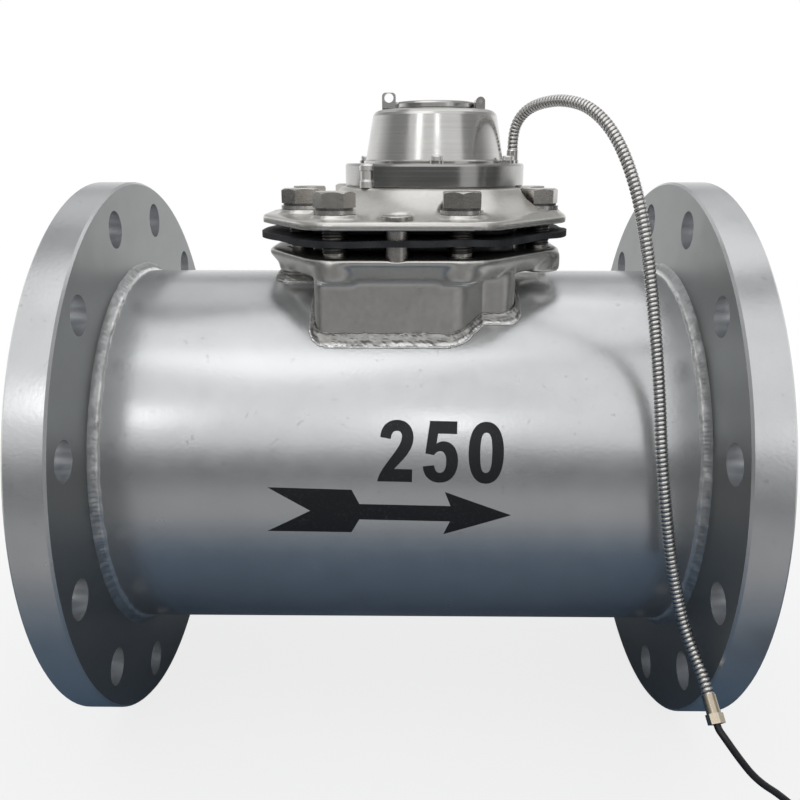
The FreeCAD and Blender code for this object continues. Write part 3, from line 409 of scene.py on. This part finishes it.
def evaluatedMesh(shown):
    return bpy.data.meshes.new_from_object(shown.evaluated_get(bpy.context.evaluated_depsgraph_get()))


def sliceAcross(bm, axis, first, end, step):
    facing = Vector((0, 0, 0))
    facing[axis] = 1.0
    cut = first
    while cut < end:
        geom = bm.verts[:] + bm.edges[:] + bm.faces[:]
        bmesh.ops.bisect_plane(bm, geom=geom, plane_co=facing * cut, plane_no=facing)
        cut += step


def spinOnPipe(bm, section, faceX, steps, closed=False):
    # a line of x, height, turned once round the axis of the pipe
    verts = [bm.verts.new((x, 0, height)) for x, height in section]
    ends = verts[1:] + verts[:1] if closed else verts[1:]
    edges = [bm.edges.new(pair) for pair in zip(verts, ends)]
    bmesh.ops.spin(bm, geom=verts + edges, cent=(faceX, 0, 0), axis=(1, 0, 0), angle=2 * math.pi,
                   steps=steps, use_merge=True)
    mergeDoubles(bm)


def routeCurve(name, points):
    data = bpy.data.curves.new(name, "CURVE")
    data.dimensions = "3D"
    spline = data.splines.new("NURBS")
    spline.points.add(len(points) - 1)
    for knot, spot in zip(spline.points, points):
        knot.co = (*spot, 1.0)
    spline.order_u = 3
    spline.use_endpoint_u = True
    return data


def readLine(data, steps):
    data.resolution_u = steps
    guide = bpy.data.objects.new("guide", data)
    mesh = bpy.data.meshes.new_from_object(guide)
    line = [v.co.copy() for v in mesh.vertices]
    bpy.data.objects.remove(guide)
    bpy.data.meshes.remove(mesh)
    return line


def lineLength(line):
    return sum((b - a).length for a, b in zip(line, line[1:]))


# armoured conduit: a strip wound edge over edge
conduit = {
    "diameter": 0.008, "pitch": 0.00285, "groove": 0.0008, "crown": 0.7, "sides": 16, "steps": 110,
    "route": [
        (81.5, 0, 225.5), (81.5, 0, 236), (84.1, -4, 246), (89.8, -13.1, 253), (98.2, -26.1, 256.5),
        (110, -44.7, 257), (123.5, -65.8, 251), (135.8, -85.1, 234), (145.8, -100.7, 206),
        (152.5, -111.3, 173), (157.6, -119.3, 135), (160.8, -127, 103.7), (163.3, -134.7, 71.6),
        (164.1, -143.5, 43.6), (168.1, -151, 6.4), (174, -155, -30.4), (180.6, -162.5, -61.7),
        (186.5, -172.5, -79.9), (190.5, -181.5, -90.4), (192.1, -190, -98.8),
    ],
}


def windConduit(c):
    line = readLine(routeCurve("conduitLine", [place(*p) for p in c["route"]]), c["steps"])
    bm = bmesh.new()
    groove = bm.verts.layers.float.new("groove")
    ring = bmesh.ops.create_circle(bm, cap_ends=True, segments=c["sides"],
                                   radius=c["diameter"] / 2)["verts"]
    flat = [v.co.copy() for v in ring]
    edges = bm.edges[:]
    heading = (line[1] - line[0]).normalized()
    turn = Vector((0, 0, 1)).rotation_difference(heading).to_matrix()
    travelled = 0.0
    for i, spot in enumerate(line):
        ahead = (line[min(i + 1, len(line) - 1)] - line[max(i - 1, 0)]).normalized()
        turn = heading.rotation_difference(ahead).to_matrix() @ turn
        heading = ahead
        if i:
            travelled += (spot - line[i - 1]).length
            made = bmesh.ops.extrude_edge_only(bm, edges=edges)["geom"]
            edges = [e for e in made if isinstance(e, bmesh.types.BMEdge)]
            ring = [v for v in made if isinstance(v, bmesh.types.BMVert)]
        for k, vert in enumerate(ring):
            wave = abs(math.sin(math.pi * (travelled / c["pitch"] - k / c["sides"])))
            depth = c["groove"] * (1 - wave ** c["crown"])
            vert.co = spot + turn @ (flat[k] * (1 - 2 * depth / c["diameter"]))
            vert[groove] = depth / c["groove"]
    bmesh.ops.contextual_create(bm, geom=edges)
    return closeMesh(bm, "woundConduit"), line


conduitMesh, conduitLine = windConduit(conduit)
woundConduit = addPiece("woundConduit", conduitMesh, "conduit_steel")
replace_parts(woundConduit, "armoured_conduit")
print("conduit", round(lineLength(conduitLine), 4), "m,", len(conduitMesh.polygons), "faces")

# ferrule at the end of the conduit, drawn in towards the width seen in the photograph
ferrule = {"between": 0.0055, "sleeve": 0.88, "nut": 0.78}
lastStep = Vector(conduit["route"][-1]) - Vector(conduit["route"][-2])


def drawFerrule(f):
    bm = cadCopy("conduit_ferrule")
    turn = Vector((0, 0, 1)).rotation_difference(lastStep).to_matrix().to_4x4()
    flat = (Matrix.Translation(place(*conduit["route"][-1])) @ turn).inverted()
    nut = [v for v in bm.verts if (flat @ v.co).xy.length > f["between"]]
    sleeve = [v for v in bm.verts if v not in nut]
    for verts, share in ((sleeve, f["sleeve"]), (nut, f["nut"])):
        bmesh.ops.scale(bm, vec=(share, share, 1), space=flat, verts=verts)
    mesh = closeMesh(bm, "drawnFerrule")
    piece = addPiece("drawnFerrule", mesh, "ferrule_nickel")
    mesh.set_sharp_from_angle(angle=sharpAngle)
    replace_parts(piece, "conduit_ferrule")
    return piece


drawnFerrule = drawFerrule(ferrule)
print("ferrule", len(drawnFerrule.data.polygons), "faces")

# pulse cable: down from the ferrule, then a tied coil
cable = {
    "diameter": 0.0044, "ferrule": 17.0, "straight": 3.0, "steps": 6, "bevel": 4, "lengthSteps": 8,
    "route": [
        (196.2, -208, -114), (199.9, -211.5, -118.8), (205.9, -214.5, -126.6), (213, -216.5, -135.2),
        (221, -217.5, -142), (230, -217.5, -148), (252, -217, -168), (274, -216.5, -191),
        (295, -216, -198.8),
    ],
    "coilCentre": (309.0, -248.3), "outer": 32.5, "spacing": 5.0, "low": -198.8, "layer": 5.0,
    "turns": 2, "climb": 0.5, "pinch": 0.9, "perTurn": 16,
    # the free end: back, aside and up from the side of the coil
    "tail": [(14.0, 0.0, 4.6), (25.0, -0.3, 1.2), (36.0, 0.0, 0.0)],
}


def coilPoints(c):
    x, y = c["coilCentre"]
    upper = c["turns"] + c["climb"]
    inner = c["outer"] - c["spacing"] * c["turns"]
    points = []
    for i in range(int((upper + c["turns"]) * c["perTurn"]) + 1):
        t = i / c["perTurn"]
        angle = math.radians(90 - 360 * t)
        if t <= c["turns"]:  # lower layer, winding in
            level = 0.0
            radius = c["outer"] - c["spacing"] * t
        elif t < upper:  # climb at the eye of the coil
            level = (t - c["turns"]) / c["climb"]
            radius = inner - c["pinch"] * math.sin(math.pi * level)
        else:  # upper layer, winding out
            level = 1.0
            radius = inner + c["spacing"] * (t - upper)
        height = c["low"] + c["layer"] * level
        points.append((x + radius * math.cos(angle), y + radius * math.sin(angle), height))
    side = y - c["outer"]
    points += [(x - back, side + aside, c["low"] + up) for back, aside, up in c["tail"]]
    return points


last = lastStep.normalized()
ferruleEnd = Vector(conduit["route"][-1]) + last * cable["ferrule"]
straightEnd = ferruleEnd + last * cable["straight"]
cableSpots = [tuple(ferruleEnd), tuple(straightEnd)] + cable["route"] + coilPoints(cable)
cableData = routeCurve("pulseCable", [place(*p) for p in cableSpots])
cableLength = lineLength(readLine(cableData, cable["lengthSteps"]))
cableData.resolution_u = cable["steps"]
cableData.bevel_depth = cable["diameter"] / 2
cableData.bevel_resolution = cable["bevel"]
cableData.use_fill_caps = True
cableData.materials.append(finishes["cable_black"])
pulseCable = show("pulseCable", cableData)
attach(pulseCable, "meter_body")
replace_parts(pulseCable, "signal_cable", "cable_coil")
place(*conduit["route"][0])
lineLength(conduitLine)
place(*ferruleEnd)
print("cable", round(cableLength, 4), "m")

# weld beads behind the flanges, laid as overlapping ripples
flangeBead = {
    "leg": 0.0056, "back": 0.026, "steps": 1400, "lump": 0.0008, "ripple": 0.0036,
    "drift": 48, "grain": 170,
    # outline in legs: along the pipe, away from it
    "section": [(0.0, 1.1), (0.1, 0.93), (0.3, 0.72), (0.52, 0.53), (0.76, 0.38), (0.95, 0.26),
                (1.06, -0.08)],
}
# the small bead inside each flange, at the pipe's end
sealBead = {
    # outline: from the flange's face, from the axis
    "section": [(0.008, 0.1303), (0.0052, 0.1317), (0.0034, 0.1336), (0.0017, 0.1367), (0.008, 0.1367)],
    "root": 0.008, "rootGap": 1e-4, "steps": 480, "lump": 0.0006, "grain": 180,
}


def lapShape(phase):
    # each pass of a weld laps the one before
    return 1 - (phase - math.floor(phase)) ** 2


def layFlangeBead(name, faceX, inward, b):
    bm = bmesh.new()
    section = [(faceX + inward * (b["back"] + along * b["leg"]), pipeRadius + away * b["leg"])
               for along, away in b["section"]]
    spinOnPipe(bm, section, faceX, b["steps"])
    for v in bm.verts:
        angle = math.atan2(v.co.y, v.co.z)
        share = min(max((abs(v.co.x - faceX) - b["back"]) / b["leg"], 0.0), 1.0)
        crown = math.sin(math.pi * min(max(share, 0.04), 0.96))
        drift = noise.noise(v.co * b["drift"])
        phase = angle * pipeRadius / b["ripple"] + 0.9 * share * share + 2.2 * drift
        grain = 0.75 * drift + 0.8 * noise.noise(v.co * b["grain"])
        grow = b["lump"] * (crown * 0.55 * (lapShape(phase) - 0.6) + grain)
        radial = Vector((0, v.co.y, v.co.z)).normalized()
        push = Vector((inward, 0, 0)) * (0.35 + 0.65 * share) + radial * (1 - 0.6 * share)
        v.co += push.normalized() * grow
    return closeMesh(bm, name)


def laySealBead(name, faceX, inward, b):
    bm = bmesh.new()
    section = [(faceX + inward * along, away) for along, away in b["section"]]
    spinOnPipe(bm, section, faceX, b["steps"], closed=True)
    for v in bm.verts:
        if b["root"] - abs(v.co.x - faceX) > b["rootGap"]:  # the root stays flat
            v.co += Vector((inward, 0, 0)) * b["lump"] * noise.noise(v.co * b["grain"])
    return closeMesh(bm, name)


for name, faceX, inward in (("inlet", 0.0, 1), ("outlet", 2 * pipeMiddle, -1)):
    addPiece(name + "SealBead", laySealBead(name + "SealBead", faceX, inward, sealBead), "weld_bead")
    mesh = layFlangeBead(name + "FlangeBead", faceX, inward, flangeBead)
    bead = addPiece(name + "FlangeBead", mesh, "weld_bead")
    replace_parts(bead, name + "_flange_weld")
    print(name, "bead", len(mesh.polygons), "faces")

# weld bead round the foot of the neck, slimmed and rippled from the plain fillet
neckBead = {
    "voxel": 0.0008, "soften": 5, "lump": 0.001, "ripple": 0.0052, "slim": 0.0014,
    "drift": 60, "grain": 230, "toeRadius": 0.1378,
}


def softForm(nodeName, voxel, soften):
    # a CAD node remeshed in even cells and smoothed, so that its edges go soft
    form = show("softForm", plainMesh(cadCopy(nodeName), "softForm"))
    remesh = form.modifiers.new("even", "REMESH")
    remesh.mode = "VOXEL"
    remesh.voxel_size = voxel
    even = evaluatedMesh(form)
    bpy.data.objects.remove(form)
    bm = bmesh.new()
    bm.from_mesh(even)
    for _ in range(soften):
        bmesh.ops.smooth_vert(bm, verts=bm.verts, factor=0.5,
                              use_axis_x=True, use_axis_y=True, use_axis_z=True)
    bm.normal_update()
    return bm


def layNeckBead(b):
    bm = softForm("neck_weld", b["voxel"], b["soften"])
    moves = []
    for v in bm.verts:
        drift = noise.noise(v.co * b["drift"])
        phase = (v.co.x + v.co.y + 0.8 * v.co.z) / b["ripple"] + 1.6 * drift
        grow = 0.45 * (lapShape(phase) - 0.5) + 0.8 * drift + 0.6 * noise.noise(v.co * b["grain"])
        out = Vector((v.co.x - pipeMiddle, v.co.y, 0)).normalized()
        # only the bare side moves, not those on the neck and the pipe
        bare = min(max(v.normal.dot(out), 0) + max(v.normal.z, 0), 1)
        slim = b["slim"] * (1 + 0.7 * abs(v.normal.x))  # thinner up the two ends
        moves.append(v.normal * bare * (b["lump"] * grow - slim))
    for v, move in zip(bm.verts, moves):
        v.co += move
    return closeMesh(bm, "neckBead")


neckMesh = layNeckBead(neckBead)
neckFinish = bareWeld("bareWeld", neckBead["toeRadius"])
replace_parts(addPiece("neckBead", neckMesh, "weld_bead", finish=neckFinish), "neck_weld")
print("neck bead", len(neckMesh.polygons), "faces")

# neck and cover with the soft edges of stampings
stampings = {"voxel": 0.0013, "soften": {"neck_housing": 9, "cover_plate": 3}}
for nodeName, soften in stampings["soften"].items():
    mesh = closeMesh(softForm(nodeName, stampings["voxel"], soften), nodeName + "Soft")
    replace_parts(addPiece(nodeName + "Soft", mesh, "stainless"), nodeName)
    print(nodeName, len(mesh.polygons), "faces")

# gasket sheet, flat on its seat and slack where nothing holds its edge
gasketSheet = {
    "seat": (-60.0, 78.0, 76.0),  # left end, right end and half width of what is held
    "fade": 0.018, "wave": 0.00176, "waveScale": 26, "waveLayer": 0.4, "step": 0.006,
}


def layGasket(g):
    bm = cadCopy("cover_gasket")
    low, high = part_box("cover_gasket")
    for axis in (0, 1):
        sliceAcross(bm, axis, low[axis] + g["step"], high[axis], g["step"])
    left, right, side = g["seat"]
    for v in bm.verts:
        x = (v.co.x - pipeMiddle) * 1000
        y = abs(v.co.y) * 1000
        slack = min(max(left - x, x - right, y - side, 0) / 1000 / g["fade"], 1)
        spot = Vector((v.co.x * g["waveScale"], v.co.y * g["waveScale"], g["waveLayer"]))
        v.co.z += slack * g["wave"] * noise.noise(spot)
    mesh = closeMesh(bm, "gasketSheet")
    piece = addPiece("gasketSheet", mesh, "seal_rubber")
    mesh.set_sharp_from_angle(angle=sharpAngle)
    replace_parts(piece, "cover_gasket")
    return mesh


print("gasket", len(layGasket(gasketSheet).polygons), "faces")

# threads on the cover bolts, seen in the gap round the gasket
boltThread = {
    "places": [(-42, -86), (40, -86), (-71, -27), (98, -27), (-71, 27), (98, 27), (-42, 86), (40, 86)],
    "root": 7.95, "crest": 8.5, "pitch": 2.0, "low": 158.6, "turns": 8.2, "steps": 26,
}


def cutThreads(t):
    bm = bmesh.new()
    root, crest = t["root"], t["crest"]
    # one turn of the outline: radius, height in half pitches
    outline = [(root, 0.0), (root, 0.15), (crest, 0.85), (crest, 1.15), (root, 1.85), (root, 2.0)]
    steps = int(t["turns"] * t["steps"])
    climb = (0, 0, t["pitch"] / 1000 / t["steps"])
    for x, y in t["places"]:
        foot = place(x, y, t["low"])
        verts = [bm.verts.new(foot + Vector((r / 1000, 0, h * t["pitch"] / 2000))) for r, h in outline]
        edges = [bm.edges.new(pair) for pair in zip(verts, verts[1:])]
        bmesh.ops.spin(bm, geom=verts + edges, cent=foot, axis=(0, 0, 1), dvec=climb,
                       angle=2 * math.pi * steps / t["steps"], steps=steps)
    return closeMesh(bm, "boltThreads")


threadMesh = cutThreads(boltThread)
# the threads take the dark steel as painted shade in the gap
addPiece("boltThreads", threadMesh, "fastener", finish=springShadedSteel)
print("threads", len(threadMesh.polygons), "faces")

# stencilled size and flow arrow on the side of the pipe
marking = {
    "number": "250", "height": 40.0, "width": 81.0, "centre": (26.3, 39.6), "step": 28.9, "tilt": -1.1,
    # outlines of the digits: point, then the handles before and after it where the line bends
    "digits": {
        "2": [[((0, 0), (1.6, 9.6), None), ((22.2, 0), None, None), ((22.2, 8), None, None),
               ((10.6, 8), None, (15.5, 13.2)), ((22.6, 27.4), (22.6, 19.5), (22.6, 34.2)),
               ((12.4, 38.6), (18.2, 38.6), (6, 38.6)), ((1.4, 27.6), (1.7, 34.6), None),
               ((8.2, 26.6), None, (8.4, 30.2)), ((12.1, 31.7), (9.6, 31.7), (14.2, 31.7)),
               ((15.2, 27.9), (15.2, 30.4), (15.2, 20.6))]],
        "5": [[((4, 38.4), None, None), ((21.4, 38.4), None, None), ((21.4, 30.6), None, None),
               ((9.3, 30.6), None, None), ((8.5, 24.4), None, (9.8, 25.4)),
               ((13, 25.9), (11.4, 25.9), (18.6, 25.9)), ((22.3, 13.6), (22.3, 21), (22.3, 5.6)),
               ((10.8, 0), (17.8, 0), (4.8, 0)), ((0, 10), (0.5, 3.8), None),
               ((7.2, 10.9), None, (7.6, 7.8)), ((10.8, 6.2), (8.8, 6.2), (13.6, 6.2)),
               ((14.8, 13.2), (14.8, 8.8), (14.8, 17.4)), ((11, 19.7), (13.4, 19.7), (9.2, 19.7)),
               ((7, 17.2), (7.9, 18.6), None), ((1.4, 18.1), None, None)]],
        "0": [[((11.2, 0), (3.8, 0), (18.6, 0)), ((22.4, 19.3), (22.4, 7.4), (22.4, 31.2)),
               ((11.2, 38.6), (18.6, 38.6), (3.8, 38.6)), ((0, 19.3), (0, 31.2), (0, 7.4))],
              [((11.2, 6.8), (8.3, 6.8), (14.1, 6.8)), ((15, 19.3), (15, 10.7), (15, 27.9)),
               ((11.2, 31.8), (14.1, 31.8), (8.3, 31.8)), ((7.4, 19.3), (7.4, 27.9), (7.4, 10.7))]],
    },
    "arrow": [
        (-85.0, 15.4), (-30.6, 15.0), (-25.5, 5.4), (33.6, 5.4), (29.6, 15.0), (73.0, 0.0),
        (29.6, -15.0), (33.6, -5.4), (-25.5, -5.4), (-30.6, -15.0), (-85.6, -15.4), (-57.4, 0.0),
    ],
    "arrowLift": -1.5, "film": 0.09, "inkShare": 0.9,
    "slice": 2.5, "numberSpan": (18, 62), "arrowSpan": (-15, 15.2),  # cuts that let the flat marks bend
}


def wrapOnPipe(bm, m, lift=0.0):
    # lay a flat sheet of x, height in millimetres round the pipe's near side
    tilt = math.radians(m["tilt"])
    pipe = pipeRadius * 1000
    radius = pipe + m["film"]
    for v in bm.verts:
        along = v.co.x * math.cos(tilt) - v.co.y * math.sin(tilt)
        up = v.co.x * math.sin(tilt) + v.co.y * math.cos(tilt) + lift
        angle = up / pipe
        v.co = place(along, -radius * math.cos(angle), radius * math.sin(angle))


def inkPiece(bm, name, m):
    for face in bm.faces:
        face.normal_update()
        outward = face.calc_center_median()
        outward.x = 0
        if face.normal.dot(outward) < 0:
            face.normal_flip()
    bmesh.ops.solidify(bm, geom=bm.faces[:], thickness=m["film"] * m["inkShare"] / 1000)
    mesh = plainMesh(bm, name)
    addPiece(name, mesh, "sensor_plastic", finish=inkBlack)
    mesh.set_sharp_from_angle(angle=sharpAngle)


def flatMesh(data):
    shown = show("letters", data)
    mesh = evaluatedMesh(shown)
    bpy.data.objects.remove(shown)
    bm = bmesh.new()
    bm.from_mesh(mesh)
    bmesh.ops.remove_doubles(bm, verts=bm.verts, dist=1e-5)
    return bm


def stencilDigits(m):
    data = bpy.data.curves.new("digits", "CURVE")
    data.dimensions = "2D"
    data.fill_mode = "BOTH"
    data.resolution_u = 10
    for i, digit in enumerate(m["number"]):
        shift = i * m["step"]
        for outline in m["digits"][digit]:
            spline = data.splines.new("BEZIER")
            spline.bezier_points.add(len(outline) - 1)
            spline.use_cyclic_u = True
            for knot, spots in zip(spline.bezier_points, outline):
                filled = [spot or spots[0] for spot in spots]
                point, before, after = [Vector((x + shift, y, 0)) for x, y in filled]
                knot.handle_left_type = "FREE"
                knot.handle_right_type = "FREE"
                knot.co = point
                knot.handle_left = before
                knot.handle_right = after
    return flatMesh(data)


def flatText(words, bold):
    data = bpy.data.curves.new("letters", "FONT")
    data.body = words
    data.align_x = "CENTER"
    data.offset = bold
    data.resolution_u = 8
    return flatMesh(data)


def fitText(bm, width, height, centre):
    xs = [v.co.x for v in bm.verts]
    ys = [v.co.y for v in bm.verts]
    for v in bm.verts:
        v.co.x = centre[0] + ((v.co.x - min(xs)) / (max(xs) - min(xs)) - 0.5) * width
        v.co.y = centre[1] + ((v.co.y - min(ys)) / (max(ys) - min(ys)) - 0.5) * height
        v.co.z = 0


sizeMark = stencilDigits(marking)
fitText(sizeMark, marking["width"], marking["height"], marking["centre"])
sliceAcross(sizeMark, 1, *marking["numberSpan"], marking["slice"])
wrapOnPipe(sizeMark, marking)
inkPiece(sizeMark, "sizeMark", marking)
arrowMark = bmesh.new()
arrowMark.faces.new([arrowMark.verts.new((x, y, 0)) for x, y in marking["arrow"]])
bmesh.ops.triangulate(arrowMark, faces=arrowMark.faces[:])
sliceAcross(arrowMark, 1, *marking["arrowSpan"], marking["slice"])
wrapOnPipe(arrowMark, marking, marking["arrowLift"])
inkPiece(arrowMark, "flowArrow", marking)
print("stencils on the pipe")

# dial print: a scale with plain digits round each pointer
dial = {
    "top": 234.56, "spindle": (24.5, 13.0), "gearStep": 17.6, "headings": (-15.2, -113.1, -166.8),
    "scale": 7.6, "perDigit": 5, "tick": (0.28, 0.9), "longTick": 1.6, "tickInset": 2.2, "thick": 0.06,
    "digits": 10, "digit": 1.8, "digitInset": 0.7, "digitWidth": 0.62, "oneWidth": 0.17, "bold": 0.01,
}


def printTicks(bm, d, x, y):
    width, length = d["tick"]
    ticks = d["digits"] * d["perDigit"]
    for i in range(ticks):
        reach = length * (d["longTick"] if i % d["perDigit"] == 0 else 1.0)
        made = bmesh.ops.create_cube(bm, size=1.0)["verts"]
        size = Matrix.Diagonal((reach / 1000, width / 1000, d["thick"] / 1000, 1))
        out = Matrix.Translation(((d["scale"] - d["tickInset"] - 0.5 * reach) / 1000, 0, 0))
        turn = Matrix.Rotation(math.radians(360 / ticks * i), 4, "Z")
        middle = Matrix.Translation(place(x, y, d["top"]))
        bmesh.ops.transform(bm, matrix=middle @ turn @ out @ size, verts=made)


def printDigits(bm, d, x, y):
    radius = d["scale"] - d["digitInset"]
    for digit in range(d["digits"]):
        angle = math.radians(90 - 360 / d["digits"] * digit)
        letter = flatText(str(digit), d["bold"])
        width = d["oneWidth"] if digit == 1 else d["digitWidth"]
        fitText(letter, d["digit"] * width, d["digit"], (0, 0))
        spot = place(x + radius * math.cos(angle), y + radius * math.sin(angle), d["top"])
        toMetres = Matrix.Translation(spot) @ Matrix.Scale(0.001, 4)
        bmesh.ops.transform(letter, matrix=toMetres, verts=letter.verts)
        held = plainMesh(letter, "digit")
        bm.from_mesh(held)
        bpy.data.meshes.remove(held)


def printDial(d):
    bm = bmesh.new()
    x, y = d["spindle"]
    for heading in d["headings"]:
        x += d["gearStep"] * math.cos(math.radians(heading))
        y += d["gearStep"] * math.sin(math.radians(heading))
        printTicks(bm, d, x, y)
        printDigits(bm, d, x, y)
    return plainMesh(bm, "dialPrint")


dialMesh = printDial(dial)
addPiece("dialPrint", dialMesh, "sensor_plastic", finish=inkBlack, smooth=False)
print("dial print", len(dialMesh.polygons), "faces")

# floor, light and camera
studio = {
    "floor": -0.2025, "floorSize": 9.0,
    # the dark near tone is painted shade: floor round the object seen only by reflections and bounce light
    "nearShadeTone": tone(0.1, 0.16, 0.24), "frontTone": tone(0.5, 0.5, 0.5), "paleTone": tone(0.72, 0.74, 0.77),
    "front": (-0.5, -0.24), "paper": (-0.05, 0.25),  # along y, where the tones of the floor change over
    "far": (0.3, 0.9), "nearWhite": 0.8,
    "backdropDepth": (-0.1, 0.5), "backdropHeight": (0.12, 0.5),
    "room": [  # from straight down to straight up
        (0.0, tone(0.03, 0.04, 0.05)), (0.4, tone(0.03, 0.04, 0.05)), (0.5, tone(0.09, 0.09, 0.09)),
        (0.57, tone(0.26, 0.26, 0.26)), (0.7, tone(0.3, 0.3, 0.3)), (0.85, tone(0.38, 0.38, 0.38)),
        (1.0, tone(0.34, 0.34, 0.34)),
    ],
    "lamps": [  # name, place, aim, width, height, watts
        ("keySoft", (0, -885, 865), (0, 0, 5), 2.2, 1.4, 5.0),
        ("topSoft", (24, -30, 1150), (0, 0, 100), 1.5, 0.84, 2.7),
        ("backSoft", (0, 700, 1000), (0, 0, 100), 1.6, 0.6, 0.9),
        ("leftStrip", (-780, -1440, 940), (24, 0, 230), 0.22, 0.36, 0.55),
        ("rightStrip", (110, -1600, 940), (24, 0, 230), 0.16, 0.36, 0.36),
        ("rightFill", (1000, -1100, 300), (0, 0, 60), 0.6, 0.6, 0.5),
    ],
    "camera": (6.8, -629.7, 219.0), "pitch": 16.30, "yaw": 0.68,
    "sensor": 36, "focalPixels": 824.2, "framePixels": 800,
}
white = tone(1, 1, 1)


def buildFloor(s):
    bm = bmesh.new()
    bmesh.ops.create_grid(bm, x_segments=1, y_segments=1, size=s["floorSize"])
    bmesh.ops.translate(bm, verts=bm.verts, vec=(pipeMiddle, 0, s["floor"]))
    mesh = plainMesh(bm, "floor")
    floor = show("floor", mesh)
    finish, sheet = newFinish("paleFloor")
    camera, glossy, through = sheet.rays()
    spot = sheet.mapped(shift=(-pipeMiddle, 0, 0))
    away = sheet.node("ShaderNodeVectorMath", {"operation": "LENGTH"}, {0: spot}, 1)
    depth = sheet.axis(spot, 1)
    paper = sheet.ramp(depth, *s["paper"])  # in reflections the white sheet begins behind the object
    far = sheet.ramp(away, *s["far"])
    seen = camera * (s["nearWhite"] + (1 - s["nearWhite"]) * far)
    factor = sheet.maths("MINIMUM", seen + (glossy + through) * paper * far, 1.0)
    pale = sheet.maths("MAXIMUM", paper, camera)
    # painted shade: in reflections the front floor darkens from the front tone to the dark near tone
    # towards the object
    front = sheet.blend(sheet.ramp(depth, *s["front"]), s["frontTone"], s["nearShadeTone"])
    shade = sheet.blend(pale, front, s["paleTone"])
    matt = sheet.node("ShaderNodeBsdfDiffuse", inputs={0: shade})
    glow = sheet.node("ShaderNodeEmission", inputs={0: white, 1: 1.0})
    mixed = sheet.node("ShaderNodeMixShader", inputs={0: factor, 1: matt, 2: glow})
    sheet.node("ShaderNodeOutputMaterial", inputs={0: mixed})
    mesh.materials.append(finish)


def buildWorld(s):
    world = bpy.data.worlds.new("studio")
    bpy.context.scene.world = world
    sheet = Sheet(world)
    camera, glossy, through = sheet.rays()
    spot = sheet.node("ShaderNodeTexCoord", output="Generated")
    depth = sheet.axis(spot, 1)
    height = sheet.axis(spot, 2)
    backdrop = sheet.ramp(depth, *s["backdropDepth"]) * sheet.ramp(height, *s["backdropHeight"], 1.0, 0.0)
    factor = sheet.maths("MINIMUM", camera + (glossy + through) * backdrop, 1.0)
    room = sheet.node("ShaderNodeValToRGB", {"stops": s["room"]}, {0: height * 0.5 + 0.5})
    shade = sheet.blend(factor, room, white)
    light = sheet.node("ShaderNodeBackground", inputs={0: shade, 1: 1.0})
    sheet.node("ShaderNodeOutputWorld", inputs={0: light})


def buildLamps(s):
    for name, spot, aim, width, height, watts in s["lamps"]:
        data = bpy.data.lights.new(name, "AREA")
        data.shape = "RECTANGLE"
        data.size = width
        data.size_y = height
        data.energy = watts
        lamp = show(name, data)
        lamp.location = place(*spot)
        lamp.rotation_euler = (place(*aim) - place(*spot)).to_track_quat("-Z", "Y").to_euler()


def buildCamera(s):
    data = bpy.data.cameras.new("camera")
    data.sensor_width = s["sensor"]
    data.lens = s["focalPixels"] / s["framePixels"] * s["sensor"]
    data.clip_start = 0.01
    camera = show("camera", data)
    camera.location = place(*s["camera"])
    camera.rotation_euler = (math.radians(90 - s["pitch"]), 0, math.radians(s["yaw"]))
    bpy.context.scene.camera = camera


buildFloor(studio)
buildWorld(studio)
buildLamps(studio)
buildCamera(studio)
bpy.context.scene.view_settings.view_transform = "Standard"
print("studio ready")
